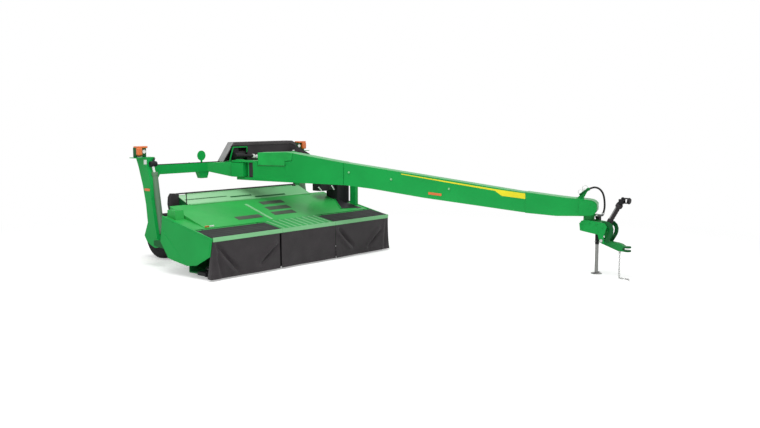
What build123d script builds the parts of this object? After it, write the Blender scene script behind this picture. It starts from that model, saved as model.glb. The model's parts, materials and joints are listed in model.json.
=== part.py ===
from build123d import *
import math
import os

# Trailed disc mower conditioner with a centre-pivot tongue, in millimetres.
# While it is drawn, X = 0 is the centreline, +X the machine's left, Y = 0 the front
# face of the crossbar, travel is along -Y and Z = 0 the ground. Every piece is
# shifted by -ORIGIN at export, so that the origin lies under the middle of the box.
ORIGIN_X = 144.0
ORIGIN_Y = -3065.0

# Clearances
FIT = 0.3
RUN = 6.0

# Trail frame
BAR_DEPTH = 150.0
BAR_BOTTOM = 1500.0
BAR_TOP = 1656.0
LEG_INNER = 1640.0
LEG_WIDTH = 160.0
LEG_OUTER = LEG_INNER + LEG_WIDTH
LAMP_INNER = LEG_OUTER - 55.0
LAMP_WIDTH = 270.0
LAMP_OUTER = LAMP_INNER + LAMP_WIDTH

# Cross drive and its shroud, on the crossbar
SHROUD_FRONT = -20.0
SHROUD_TOP = 2000.0
SHROUD_WALL = 12.0
SHROUD_LEFT = 151.0
WINDOW_RIGHT = 470.0
WINDOW_TOP = 1920.0
GEARCASE_TOP = 1930.0
FIRST_CASE = (145.0, 290.0)
LAST_CASE = (LEG_INNER - 310.0, LEG_INNER - 80.0)
DRIVE_Y = 75.0
DRIVE_Z = 1800.0

# Tongue pivot
PIVOT_Y = -350.0
HEAD_HALF_BAR = 450.0
HEAD_HALF_PIVOT = 150.0
HEAD_BOTTOM = 1405.0
PIN_RADIUS = 45.0
FORK_BOTTOM = 1349.0
FORK_TOP = 1691.0
SWING_DEG = 20.3

# Tongue, with stations measured forward from the pivot
TONGUE_HALF = 140.0
TONGUE_WALL = 10.0
BOX_START = 330.0
BOX_END = 2040.0
COVER_START = 430.0
COVER_SEAT = 1610.0
SWIVEL_AT = 6120.0
TONGUE_END = 6260.0
BEAM_TOP = ((-5810, 1210), (-6170, 1188))
COLLAR_RADIUS = 100.0

# Sleeved hoses on the tongue's end, as points of the route when the tongue lies straight ahead
HOSE_RADIUS = 15.0
HOSE_ROUTE = [(0, -6118, 1352), (0, -6167, 1375), (0, -6221, 1375), (0, -6270, 1353), (0, -6308, 1312),
              (0, -6334, 1255), (0, -6348, 1179), (0, -6354, 1095), (0, -6348, 1023), (0, -6336, 981)]
ELBOW_Z = 943.0

# Hitch
HITCH_TOP = 925.0
HITCH_HALF = 110.0
PLATE = 14.0
SWIVEL_PIN_RADIUS = 40.0
HITCH_PIN_RADIUS = 16.5
CLEVIS_AT = -645.0
CLEVIS_GAP = 32.0
JAW_RADIUS = 58.0
DRAWBAR_FOOT = 425.0

# Safety chain, with its route over the ground as (X, Y) from the swivel axis
LINK_PITCH = 31.0
LINK_WIRE = 8.4
LINK_HALF = 16.5
CHAIN_TOP = 392.0
CHAIN_REST = 17.0
CHAIN_ON_FLOOR = 10
CHAIN_FLOOR = ((-20, -535), (-62, -575), (-80, -630), (-64, -680), (-95, -730), (-190, -768))

# Stowed PTO shaft, as (Y, Z) from the swivel axis
PTO_PIVOT = (-315.0, 800.0)
PTO_TIP = (-535.0, 1190.0)
YOKE_TIP = -680.0
PTO_EYE_HALF = 24.0

# Wheels
WHEEL_Y = 340.0
TYRE_RADIUS = 393.7
TYRE_WIDTH = 343.0
TYRE_OUTER = 1290.0
RIM_RADIUS = 190.5
SPINDLE_RADIUS = 35.0
ARM_INNER = TYRE_OUTER + 40.0
ARM_WIDTH = 45.0

# Header
HEADER_OVERHANG = 280.0
HEADER_HALF = LEG_OUTER + HEADER_OVERHANG
SIDE_WALL = 12.0
SHEET = 8.0
FRONT_Y = -2070.0
BAR_EDGE = 655.0
DOOR_DEPTH = 455.0
HINGE_Y = FRONT_Y + DOOR_DEPTH
HINGE_Z = 735.0
DOOR_AXIS_Z = 723.0
HINGE_TUBE = 14.0
HINGE_EAR = 23.0
TUBE_FRONT = -1440.0
DOOR_INNER = 630.0
BAR_PROUD = 8.0
BAR_FOOT = 600.0
CURTAIN_FOOT = 28.0
DECK_FRONT = (HINGE_Y + 25.0, HINGE_Z + SHEET)
DECK_END_REAR = (-870.0, 900.0)
DECK_HALF = LEG_OUTER
STEP_PROUD = 2.0
DECK_REAR_Y = -690.0
DECK_REAR_Z = 1030.0
HOOD_REAR_Y = -380.0
HOOD_REAR_Z = 1165.0
HOOD_HALF = LEG_INNER - 220.0
LIFT_Y = -330.0
LIFT_Z = 400.0
LIFT_PIN_RADIUS = 30.0

# Cutting discs
DISC_COUNT = 8
DISC_END_GAP = 192.0
DISC_PITCH = (2 * HEADER_HALF - DISC_END_GAP) / DISC_COUNT
DISC_Y = FRONT_Y + 280.0
BED_TOP = 112.0
BED_HALF = 95.0
DISC_Z = 128.0
DISC_RADIUS = 195.0
KNIFE_REACH = 268.0
END_WALL_Y = DISC_Y + KNIFE_REACH + 2 * RUN

# Conditioner rolls
ROLL_HALF = HOOD_HALF - 45.0
ROLL_CORE = 92.0
ROLL_TIP = 116.0
ROLL_LUGS = 10
ROLL_SHAFT = 24.0
LOWER_ROLL = (-1150.0, 330.0)
UPPER_ROLL = (-1010.0, 530.0)

# Jack
JACK_X = 160.0
JACK_Y = -70.0
JACK_RADIUS = 32.0
JACK_WALL = 5.0
JACK_TOP = 900.0
JACK_SLEEVE_BOTTOM = 470.0
JACK_FOOT = 12.0

# Swing cylinder
CYL_FRAME_PIN = (900.0, -100.0)
CYL_TONGUE_PIN = (215.0, -420.0)
CYL_Z = 1560.0
CYL_RADIUS = 48.0
CYL_EYE_RADIUS = 38.0
CYL_EYE_HALF = 22.0
CYL_PIN_RADIUS = 18.0
CYL_ROD_RADIUS = 20.0
CYL_BARREL = 640.0
CYL_ROD = 600.0
EAR = 25.0


def block(x, y, z):
    """A box from three (low, high) pairs."""
    centre = [(pair[0] + pair[1]) / 2 for pair in (x, y, z)]
    sizes = [pair[1] - pair[0] for pair in (x, y, z)]
    return Pos(*centre) * Box(*sizes)


def slab_yz(points, x):
    """An outline of (Y, Z) points, extruded between two X values."""
    outline = Plane.YZ.offset(x[0]) * Polygon(*points, align=None)
    return extrude(outline, amount=x[1] - x[0], dir=(1, 0, 0))


def slab_xz(points, y):
    """An outline of (X, Z) points, extruded between two Y values."""
    outline = Plane.XZ.offset(-y[0]) * Polygon(*points, align=None)
    return extrude(outline, amount=y[1] - y[0], dir=(0, 1, 0))


def slab_xy(points, z):
    """An outline of (X, Y) points, extruded between two Z values."""
    outline = Plane.XY.offset(z[0]) * Polygon(*points, align=None)
    return extrude(outline, amount=z[1] - z[0], dir=(0, 0, 1))


def rod(start, end, radius):
    """A round bar from one point to another."""
    path = Vector(*end) - Vector(*start)
    seat = Plane(origin=start, z_dir=path)
    return seat * Cylinder(radius, path.length, align=(Align.CENTER, Align.CENTER, Align.MIN))


def both_sides(x_low, x_high):
    """The X ranges of a piece and its mirror image."""
    return ((-x_high, -x_low), (x_low, x_high))


def strip(start, end, thickness):
    """The (Y, Z) outline of a plate from one point to another, thickness below the line."""
    run = Vector(end[0] - start[0], end[1] - start[1])
    drop = Vector(run.Y, -run.X).normalized() * thickness
    if drop.Y > 0:
        drop = drop * -1
    return [start, end, (end[0] + drop.X, end[1] + drop.Y), (start[0] + drop.X, start[1] + drop.Y)]


def height_at(start, end, y):
    """The Z of the line through two (Y, Z) points."""
    return start[1] + (end[1] - start[1]) * (y - start[0]) / (end[0] - start[0])


def y_on(start, end, z):
    """The Y of the line through two (Y, Z) points."""
    return start[0] + (end[0] - start[0]) * (z - start[1]) / (end[1] - start[1])


def turned(point, degrees):
    """A point (X, Y) turned about the origin."""
    angle = math.radians(degrees)
    return (point[0] * math.cos(angle) - point[1] * math.sin(angle),
            point[0] * math.sin(angle) + point[1] * math.cos(angle))


swivel_offset = turned((0.0, -SWIVEL_AT), SWING_DEG)
SWIVEL = (swivel_offset[0], PIVOT_Y + swivel_offset[1])


def on_tongue(shape):
    """Drawn with the tongue straight ahead of a pivot at the origin, then swung."""
    return Pos(0, PIVOT_Y, 0) * Rot(0, 0, SWING_DEG) * shape


def on_hitch(shape):
    """Drawn with the swivel axis at the origin and the hitch pointing along -Y."""
    return Pos(SWIVEL[0], SWIVEL[1], 0) * shape


def ear_heights():
    """The Z ranges of the two ears that hold an eye of the swing cylinder."""
    half = CYL_EYE_HALF + FIT
    return ((CYL_Z - half - EAR, CYL_Z - half), (CYL_Z + half, CYL_Z + half + EAR))


# Trail frame

def crossbar():
    bar = block((-LEG_INNER, LEG_INNER), (0, BAR_DEPTH), (BAR_BOTTOM, BAR_TOP))
    stem = block((-545, -515), (55, 75), (BAR_TOP, 1720))
    plate = Pos(-530, 65, 1782) * Rot(90, 0, 0) * Cylinder(88, 14)
    pocket = slab_xz([(-640, BAR_BOTTOM), (-590, 1385), (-450, 1385), (-410, BAR_BOTTOM)], (10, 110))
    for z in ear_heights():
        bar += block((CYL_FRAME_PIN[0] - 50, CYL_FRAME_PIN[0] + 50), (CYL_FRAME_PIN[1] - 50, 1), z)
    pin = rod((*CYL_FRAME_PIN, ear_heights()[0][0]), (*CYL_FRAME_PIN, ear_heights()[1][1]), CYL_PIN_RADIUS)
    return bar + stem + plate + pocket + pin


def pivot_head():
    """A tapered casting from the crossbar to the boss of the tongue pivot."""
    at_bar = Plane.XZ * Pos(0, (BAR_BOTTOM + BAR_TOP) / 2) * Rectangle(
        2 * HEAD_HALF_BAR, BAR_TOP - BAR_BOTTOM)
    front_y = PIVOT_Y + 50
    at_boss = Plane.XZ.offset(-front_y) * Pos(0, (HEAD_BOTTOM + BAR_TOP) / 2) * Rectangle(
        2 * HEAD_HALF_PIVOT, BAR_TOP - HEAD_BOTTOM)
    arm = loft([at_bar.face(), at_boss.face()])
    height = BAR_TOP - HEAD_BOTTOM
    boss = Pos(0, PIVOT_Y, HEAD_BOTTOM + height / 2) * Cylinder(HEAD_HALF_PIVOT, height)
    hole = Pos(0, PIVOT_Y, HEAD_BOTTOM + height / 2) * Cylinder(PIN_RADIUS + FIT, height)
    return arm + boss - hole


LEG_OUTLINE = [(195, 1790), (-105, 1790), (-110, 1640), (-180, 1450), (-200, 1120), (-330, 480),
               (-400, 400), (-370, 330), (-270, 310), (-150, 350), (-46, 407), (17, 495),
               (-87, 721), (-51, 1027), (21, 1331), (124, 1634)]
GUSSET_FOOT = 1345.0
GUSSET = 24.0
ARM_TUBE_Y = -130.0
ARM_TUBE_Z = 500.0
ARM_TUBE_RADIUS = 60.0


def leg(side):
    """An upright box, a tube from its foot to the wheel's arm and spindle, and a gusset below the crossbar."""
    inner, outer = LEG_INNER, LEG_OUTER
    post = slab_yz(LEG_OUTLINE, (inner, outer))
    gusset = slab_xz([(inner, BAR_BOTTOM), (inner - 170, BAR_BOTTOM), (inner - 80, GUSSET_FOOT),
                      (inner, GUSSET_FOOT)], (0, GUSSET))
    arm_outer = ARM_INNER + ARM_WIDTH
    cross = (ARM_TUBE_Y, ARM_TUBE_Z)
    tube = rod((arm_outer - 1, *cross), (inner + 1, *cross), ARM_TUBE_RADIUS)
    arm = slab_yz([(-210, 440), (-175, 575), (-60, 600), (WHEEL_Y + 70, 450), (WHEEL_Y + 60, 335), (200, 330),
                   (-120, 415)], (ARM_INNER, arm_outer))
    spindle = rod((arm_outer - 1, WHEEL_Y, TYRE_RADIUS), (TYRE_OUTER - 250, WHEEL_Y, TYRE_RADIUS), SPINDLE_RADIUS)
    hole = rod((inner - 50, LIFT_Y, LIFT_Z), (outer + 50, LIFT_Y, LIFT_Z), LIFT_PIN_RADIUS + FIT)
    bracket = block((inner, LAMP_OUTER), (-105, 60), (1790, 1802))
    shape = post + gusset + tube + arm + spindle + bracket - hole
    return shape if side > 0 else mirror(shape, about=Plane.YZ)


def lamps():
    """A lamp housing on each leg's top bracket."""
    cluster = None
    for x in both_sides(LAMP_INNER, LAMP_OUTER):
        body = block(x, (-90, 50), (1802 + FIT, 1985))
        cluster = body if cluster is None else cluster + body
    return cluster


def shroud_outline(inset):
    """The (X, Z) outline of the shroud, drawn in by a wall's thickness."""
    foot = BAR_TOP + FIT - (1 if inset else 0)
    end = LEG_INNER - RUN - inset
    top = SHROUD_TOP - inset
    shoulder = LEG_OUTER - 65 - inset
    return [(SHROUD_LEFT - 254 + inset, foot), (SHROUD_LEFT + inset / 2, top), (LEG_INNER - 20 - inset / 4, top),
            (shoulder, top - 55), (shoulder, 1824 + inset), (end, 1812 + inset), (end, foot)]


def shroud():
    """The cover over the cross drive, open below, with a window in its front near the tongue."""
    rear = BAR_DEPTH
    outer = slab_xz(shroud_outline(0), (SHROUD_FRONT, rear))
    inner = slab_xz(shroud_outline(SHROUD_WALL), (SHROUD_FRONT + SHROUD_WALL, rear - SHROUD_WALL))
    window = slab_xz([(SHROUD_LEFT - 230, BAR_TOP), (SHROUD_LEFT - 38, WINDOW_TOP), (WINDOW_RIGHT, WINDOW_TOP),
                      (WINDOW_RIGHT, BAR_TOP)], (SHROUD_FRONT - 1, SHROUD_FRONT + 2 * SHROUD_WALL))
    return outer - inner - window


def shroud_wing():
    """A flat sheet across the top of the left leg's front, on two spacers."""
    front = LEG_OUTLINE[2][0] - 15
    rear = front + SHEET
    wing = slab_xz([(LEG_INNER - 30, 1690), (LEG_INNER - 30, 1905), (LEG_INNER + 60, 1870), (LAMP_OUTER - 20, 1740),
                    (LAMP_OUTER + 30, 1690)], (front, rear))
    leg_face = [((y - FIT), z) for y, z in LEG_OUTLINE[1:3]]
    for x in (LEG_INNER + 20, LEG_OUTER - 60):
        wing += slab_yz([(rear - 1, 1705), (rear - 1, 1770), *[(y_on(*leg_face, z), z) for z in (1770, 1705)]], (x, x + 40))
    return wing


def gearcases():
    cases = None
    for x in (FIRST_CASE, LAST_CASE):
        case = block(x, (SHROUD_FRONT + 2 * SHROUD_WALL + RUN, BAR_DEPTH - 2 * SHROUD_WALL), (BAR_TOP + FIT, GEARCASE_TOP))
        cases = case if cases is None else cases + case
    return cases


def cross_shaft():
    return rod((FIRST_CASE[1] + FIT, DRIVE_Y, DRIVE_Z), (LAST_CASE[0] - FIT, DRIVE_Y, DRIVE_Z), 50)


# Wheels

def rim(side):
    """Dish, drum and hub, with a bore that runs on the spindle."""
    x = side * (TYRE_OUTER - TYRE_WIDTH / 2)
    drum = Cylinder(RIM_RADIUS, TYRE_WIDTH - 30) - Cylinder(RIM_RADIUS - 12, TYRE_WIDTH - 30)
    dish = Pos(0, 0, 40) * Cylinder(RIM_RADIUS - 12, 14)
    hub = Pos(0, 0, 20) * Cylinder(75, 200)
    shape = drum + dish + hub - Pos(0, 0, 20) * Cylinder(SPINDLE_RADIUS + FIT, 200)
    return Pos(x, WHEEL_Y, TYRE_RADIUS) * Rot(0, side * 90, 0) * shape


def tyre(side):
    x = side * (TYRE_OUTER - TYRE_WIDTH / 2)
    half = TYRE_WIDTH / 2
    section = [(RIM_RADIUS, -half + 15), (RIM_RADIUS + 60, -half), (TYRE_RADIUS - 50, -half),
               (TYRE_RADIUS - 8, -half + 40), (TYRE_RADIUS, -half + 110), (TYRE_RADIUS, half - 110),
               (TYRE_RADIUS - 8, half - 40), (TYRE_RADIUS - 50, half), (RIM_RADIUS + 60, half),
               (RIM_RADIUS, half - 15)]
    shape = revolve(Plane.XZ * Polygon(*section, align=None), Axis.Z)
    return Pos(x, WHEEL_Y, TYRE_RADIUS) * Rot(0, side * 90, 0) * shape


# Header

SIDE_OUTLINE = [(FRONT_Y, BAR_EDGE - 5), (-2020, 375), (-1690, 207), (-1460, 177), (-1130, 224),
                (-990, 252), (-800, 500), (-860, 910)]


def side_panel(side):
    x = both_sides(HEADER_HALF - SIDE_WALL, HEADER_HALF)[0 if side < 0 else 1]
    return slab_yz(SIDE_OUTLINE, x)


def cutterbar():
    """A flat gear bed with a skid shoe under each disc."""
    half = HEADER_HALF - SIDE_WALL - FIT
    bed = block((-half, half), (DISC_Y - BED_HALF, DISC_Y + BED_HALF), (60, BED_TOP))
    for index in range(DISC_COUNT):
        x = disc_x(index)
        bed += slab_yz([(DISC_Y - 150, 75), (DISC_Y - 130, 40), (DISC_Y - 40, 0), (DISC_Y + 150, 0),
                        (DISC_Y + 190, 70), (DISC_Y + 60, 70)], (x - 150, x + 150))
    return bed


def disc_x(index):
    return (index - (DISC_COUNT - 1) / 2) * DISC_PITCH


def rotor(index):
    """A domed disc with two knives, which pass those of its counter-turning neighbours at 90 degrees."""
    disc = Pos(0, 0, 12) * Cylinder(DISC_RADIUS, 16) + Pos(0, 0, 30) * Cone(110, 60, 24)
    knife = block((DISC_RADIUS - 60, KNIFE_REACH), (-24, 24), (-2, 4 + FIT))
    boss_low = BED_TOP + FIT - DISC_Z
    boss = Pos(0, 0, boss_low + 10) * Cylinder(45, 20)
    shape = disc + knife + Rot(0, 0, 180) * knife + boss
    return Pos(disc_x(index), DISC_Y, DISC_Z) * Rot(0, 0, 45) * shape


def door_hinge(at):
    """A plate from the main tube forward to a bore round the door's hinge tube."""
    x = (at - 6, at + 6)
    seat = TUBE_FRONT + 1
    plate = slab_yz([(seat, 745), (seat, 665), (HINGE_Y, DOOR_AXIS_Z - HINGE_EAR),
                     (HINGE_Y, DOOR_AXIS_Z + 8), (HINGE_Y + 30, DOOR_AXIS_Z + 8)], x)
    plate += rod((x[0], HINGE_Y, DOOR_AXIS_Z), (x[1], HINGE_Y, DOOR_AXIS_Z), HINGE_EAR)
    bore = HINGE_TUBE + FIT
    return plate - rod((x[0] - 1, HINGE_Y, DOOR_AXIS_Z), (x[1] + 1, HINGE_Y, DOOR_AXIS_Z), bore)


def header_frame():
    """Main tube, conditioner side plates, lift arms and cross members."""
    half = HEADER_HALF - SIDE_WALL - FIT
    frame = block((-half, half), (TUBE_FRONT, TUBE_FRONT + 110), (655, 755))
    for x in both_sides(HOOD_HALF - 20, HOOD_HALF):
        frame += slab_yz([(-1560, 80), (-1560, 700), (TUBE_FRONT, 755), (DECK_REAR_Y, 1010),
                          (HOOD_REAR_Y - 20, 1140), (HOOD_REAR_Y - 20, 950), (-760, 620), (-760, 250), (-1000, 120)], x)
    for x in both_sides(HOOD_HALF, half):
        frame += block(x, (-1000, -960), (250, 640))
        frame += block(x, (END_WALL_Y, END_WALL_Y + SIDE_WALL), (80, 690))
    for x in both_sides(LEG_INNER - 36, LEG_INNER - RUN) + both_sides(LEG_OUTER + RUN, LEG_OUTER + 36):
        frame += slab_yz([(-980, 560), (-960, 300), (LIFT_Y - 20, LIFT_Z - 55), (LIFT_Y + 45, LIFT_Z - 40),
                          (LIFT_Y + 45, LIFT_Z + 40), (LIFT_Y - 60, LIFT_Z + 55)], x)
    for x in both_sides(LEG_INNER - 36, LEG_OUTER + 36):
        frame += rod((x[0], LIFT_Y, LIFT_Z), (x[1], LIFT_Y, LIFT_Z), LIFT_PIN_RADIUS)
    frame += block((-half, half), (DISC_Y + BED_HALF + FIT, END_WALL_Y + SIDE_WALL), (80, 100))
    for at in (-HEADER_HALF + 180, -DOOR_INNER - 140, DOOR_INNER + 140, HEADER_HALF - 180):
        frame += door_hinge(at)
    for centre in (LOWER_ROLL, UPPER_ROLL):
        frame -= rod((-HOOD_HALF - 1, *centre), (HOOD_HALF + 1, *centre), ROLL_SHAFT + FIT)
    return frame


def deck():
    """The top sheet from the door hinges up to the hood, lower at its ends."""
    half = HEADER_HALF - SIDE_WALL - FIT
    top = slab_yz(strip(DECK_FRONT, (DECK_REAR_Y, DECK_REAR_Z), SHEET), (-DECK_HALF, DECK_HALF))
    for x in both_sides(DECK_HALF, half):
        top += slab_yz(strip(DECK_FRONT, DECK_END_REAR, SHEET), x)
    main = (DECK_FRONT, (DECK_REAR_Y, DECK_REAR_Z))
    low_end = (DECK_FRONT, DECK_END_REAR)
    front, rear, sunk = -1480, DECK_REAR_Y - 12, SHEET / 2
    step = [(front, height_at(*main, front) - sunk), (rear, height_at(*main, rear) - sunk), (rear, DECK_END_REAR[1] + 30),
            (DECK_END_REAR[0] - 4, DECK_END_REAR[1] - sunk), (front, height_at(*low_end, front) - sunk)]
    for x in both_sides(DECK_HALF - SHEET, DECK_HALF + STEP_PROUD):
        top += slab_yz(step, x)
    front, rear = -1100, DECK_END_REAR[0] - 12
    foot = [(y, height_at(*low_end, y) - 1) for y in (rear, front)]
    return top + slab_yz([(front + 20, 1000), (rear, 1000), *foot], (-DECK_HALF - 190, -DECK_HALF - 30))


def rear_hood():
    """The roof behind the deck, its rear bar and end plates."""
    start = (DECK_REAR_Y + FIT, DECK_REAR_Z + FIT)
    roof = slab_yz(strip(start, (HOOD_REAR_Y, HOOD_REAR_Z), SHEET), (-HOOD_HALF, HOOD_HALF))
    bar = block((-1230, 1230), (HOOD_REAR_Y - 10, HOOD_REAR_Y + 30), (HOOD_REAR_Z - 30, HOOD_REAR_Z + 12))
    return roof + bar


def roll(centre, phase):
    """A roll with straight lugs whose tips stay clear of the other roll."""
    shape = Cylinder(ROLL_CORE, 2 * ROLL_HALF)
    for index in range(ROLL_LUGS):
        lug = Pos(ROLL_TIP - 16, 0, 0) * Box(32, 22, 2 * ROLL_HALF)
        shape += Rot(0, 0, phase + 360 / ROLL_LUGS * index) * lug
    shape += Cylinder(ROLL_SHAFT, 2 * ROLL_HALF + 60)
    return Pos(0, centre[0], centre[1]) * Rot(0, 90, 0) * shape


def centre_section():
    """The fixed ribbed step between the doors."""
    x = (-DOOR_INNER + RUN, DOOR_INNER - RUN)
    plate = slab_yz(strip((FRONT_Y + 12, BAR_EDGE), (DECK_FRONT[0] - FIT, DECK_FRONT[1]), SHEET), x)
    for at in both_sides(DOOR_INNER - 70, DOOR_INNER - 60):
        plate += slab_yz([(FRONT_Y + 10, 645), (TUBE_FRONT - FIT, 750), (TUBE_FRONT - FIT, 690),
                          (FRONT_Y + 10, 605)], at)
    front = block(x, (FRONT_Y - BAR_PROUD, FRONT_Y + 14), (BAR_FOOT, BAR_EDGE))
    return plate + front


def centre_curtain():
    x = (-DOOR_INNER + RUN, DOOR_INNER - RUN)
    return block(x, (FRONT_Y - 6 - FIT, FRONT_Y - FIT), (CURTAIN_FOOT, BAR_FOOT - FIT))


def door_x(side, inner, outer):
    return both_sides(inner, outer)[0 if side < 0 else 1]


def door_frame(side):
    """A folded front edge and the hinge tube, joined by the door's side rails."""
    x = door_x(side, DOOR_INNER, HEADER_HALF - SIDE_WALL - RUN)
    frame = block(x, (FRONT_Y - BAR_PROUD, FRONT_Y + 14), (BAR_FOOT, BAR_EDGE))
    for at in (x[0], x[1] - 40):
        frame += slab_yz(strip((FRONT_Y + 10, BAR_EDGE - 8), (HINGE_Y - 8, HINGE_Z - 10), 25), (at, at + 40))
    frame += rod((x[0], HINGE_Y, DOOR_AXIS_Z), (x[1], HINGE_Y, DOOR_AXIS_Z), HINGE_TUBE)
    return frame


def door_panel(side):
    x = door_x(side, DOOR_INNER, HEADER_HALF - SIDE_WALL - RUN)
    return slab_yz(strip((FRONT_Y, BAR_EDGE + 8 + FIT), (HINGE_Y - 30, HINGE_Z - 2), 8), x)


def door_curtain(side):
    x = door_x(side, DOOR_INNER, HEADER_HALF - SIDE_WALL - RUN)
    return block(x, (FRONT_Y - 6 - FIT, FRONT_Y - FIT), (CURTAIN_FOOT, BAR_FOOT - FIT))


def forming_shields():
    shields = None
    for side in (-1, 1):
        hinge = HOOD_HALF - 20 - FIT
        wall = slab_xy([(side * hinge, -800), (side * (hinge - 15), -800), (side * 1120, -230), (side * 1135, -230)],
                       (430, 940))
        shields = wall if shields is None else shields + wall
    return shields


def end_deck_foot(front, rear):
    """The foot of a piece that stands on the deck's low end, from its rear to its front."""
    return [(y, height_at(DECK_FRONT, DECK_END_REAR, y) + FIT) for y in (rear, front)]


def drive_tower():
    front, rear = -1346, -1200
    x = (HEADER_HALF - 98, HEADER_HALF - 20)
    return slab_yz([(front, 1165), (rear, 1165), *end_deck_foot(front, rear)], x)


def drive_guard():
    front, rear = -1150, -870
    foot = [(y, height_at(DECK_FRONT, (DECK_REAR_Y, DECK_REAR_Z), y) + FIT) for y in (rear, front)]
    over_main = slab_yz([(front, 1190), (rear, 1190), *foot], (DECK_HALF - 390, DECK_HALF))
    step_face = DECK_HALF + STEP_PROUD + FIT
    outside = slab_yz([(front, 1190), (rear, 1190), *end_deck_foot(front, rear)], (step_face, DECK_HALF + 215))
    return over_main + outside + block((DECK_HALF - 10, DECK_HALF + 10), (front, rear), (1100, 1190))


# Tongue, drawn straight ahead of its pivot

def box_section(outline, half, mouth):
    """A welded box with one open end, from its outline and the (Y, Z) ranges of its mouth."""
    inner = offset(Plane.YZ * Polygon(*outline, align=None), amount=-TONGUE_WALL)
    reach = half - TONGUE_WALL
    hollow = extrude(Pos(-reach, 0, 0) * inner, amount=2 * reach, dir=(1, 0, 0))
    return slab_yz(outline, (-half, half)) - hollow - block((-reach, reach), *mouth)


def tongue_box():
    """The fork round the pivot boss and the level box ahead of it."""
    half = TONGUE_HALF + 10
    outline = [(-BOX_START, FORK_BOTTOM), (-BOX_START, FORK_TOP), (-COVER_START + RUN, FORK_TOP),
                   (-COVER_START + RUN, COVER_SEAT), (-960, COVER_SEAT), (-960, 1690),
                   (-1090, 1702), (-1106, 1838), (-1690, 1745), (-BOX_END, 1692), (-BOX_END, 1312),
                   (-1240, 1326)]
    box = box_section(outline, half, ((-BOX_END - 1, -BOX_END + 2 * TONGUE_WALL), (1330, 1675)))
    upper = slab_xy([(-150, 0), (150, 0), (half, -BOX_START - 1), (-half, -BOX_START - 1)], (BAR_TOP + RUN, FORK_TOP))
    lower = slab_xy([(-150, 0), (150, 0), (half, -700), (-half, -700)], (FORK_BOTTOM, HEAD_BOTTOM - RUN))
    for low, high in ((BAR_TOP + RUN, FORK_TOP), (FORK_BOTTOM, HEAD_BOTTOM - RUN)):
        box += Pos(0, 0, (low + high) / 2) * Cylinder(150, high - low)
    pin = Pos(0, 0, (FORK_BOTTOM + FORK_TOP) / 2) * Cylinder(PIN_RADIUS, FORK_TOP - FORK_BOTTOM)
    for z in ear_heights():
        box += block((half - 1, CYL_TONGUE_PIN[0] + 60), (CYL_TONGUE_PIN[1] - 60, CYL_TONGUE_PIN[1] + 60), z)
    return on_tongue(box + upper + lower + pin)


def tongue_cover():
    half = TONGUE_HALF + 14
    seat = COVER_SEAT + FIT
    return on_tongue(slab_yz([(-COVER_START, seat), (-COVER_START, 1838), (-985, 1856), (-1100, 1840), (-1084, 1707),
                              (-954, 1696), (-954, seat)], (-half, half)))


def cylinder_seats():
    """The swing cylinder's frame pin, its tongue pin at rest and the direction between them."""
    start = Vector(*CYL_FRAME_PIN, CYL_Z)
    tongue_pin = turned(CYL_TONGUE_PIN, SWING_DEG)
    end = Vector(tongue_pin[0], PIVOT_Y + tongue_pin[1], CYL_Z)
    return start, end, (end - start).normalized()


def cylinder_barrel():
    start, way = cylinder_seats()[0], cylinder_seats()[2]
    eye = Pos(*start) * Cylinder(CYL_EYE_RADIUS, 2 * CYL_EYE_HALF)
    bore = rod(tuple(start + way * 90), tuple(start + way * (CYL_BARREL + 1)), CYL_ROD_RADIUS + FIT)
    neck = rod(tuple(start), tuple(start + way * 90), CYL_ROD_RADIUS)
    tube = rod(tuple(start + way * 75), tuple(start + way * CYL_BARREL), CYL_RADIUS)
    hole = Pos(*start) * Cylinder(CYL_PIN_RADIUS + FIT, 3 * CYL_EYE_HALF)
    return eye + neck + tube - bore - hole


def cylinder_rod():
    end, way = cylinder_seats()[1:]
    eye = Pos(*end) * Cylinder(CYL_EYE_RADIUS, 2 * CYL_EYE_HALF)
    return eye + rod(tuple(end - way * CYL_ROD), tuple(end), CYL_ROD_RADIUS)


def tongue_beam():
    half = TONGUE_HALF - 8
    outline = [(-BOX_END, 1690), (-3470, 1499), (-5060, 1282), *BEAM_TOP, (-6235, 1160),
                    (-TONGUE_END, 1110), (-6225, 985), (-6190, 940), (-5630, 921), (-5060, 964), (-3470, 1137),
                    (-2560, 1260), (-BOX_END, 1312)]
    beam = box_section(outline, half, ((-BOX_END - 2 * TONGUE_WALL, -BOX_END + 1), (1330, 1675)))
    beam += rod((0, -SWIVEL_AT, HITCH_TOP + 3), (0, -SWIVEL_AT, 960), COLLAR_RADIUS)
    hole = Pos(0, -SWIVEL_AT, 960) * Cylinder(SWIVEL_PIN_RADIUS + FIT, 90)
    return on_tongue(beam - hole)


def hose_holder():
    """A bent plate on the tongue's top that lifts the hoses in a clamp."""
    seat = [(y, height_at(*BEAM_TOP, y) + FIT) for y in (-5925, -6035)]
    foot = slab_yz([(seat[0][0], seat[0][1] + 10), seat[0], seat[1], (seat[1][0], seat[1][1] + 10)], (-45, 45))
    plate = slab_yz([(-5930, 1206), (-6030, 1202), (-6080, 1300), (-6100, 1330), (-6090, 1350), (-6035, 1330),
                     (-5985, 1262)], (-5, 5))
    way = (Vector(*HOSE_ROUTE[1]) - Vector(*HOSE_ROUTE[0])).normalized()
    mouth = Vector(*HOSE_ROUTE[0]) - way * FIT
    return on_tongue(foot + plate + rod(tuple(mouth - way * 50), tuple(mouth), 24))


def route_radii(points):
    """Each corner's radius: 0.45 of the shorter run over the tangent of half the turn."""
    radii = []
    for before, at, after in zip(points, points[1:], points[2:]):
        run_in = Vector(*at) - Vector(*before)
        run_out = Vector(*after) - Vector(*at)
        half_turn = math.radians(run_in.get_angle(run_out) / 2)
        radii.append(0.45 * min(run_in.length, run_out.length) / math.tan(half_turn))
    return radii


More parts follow.
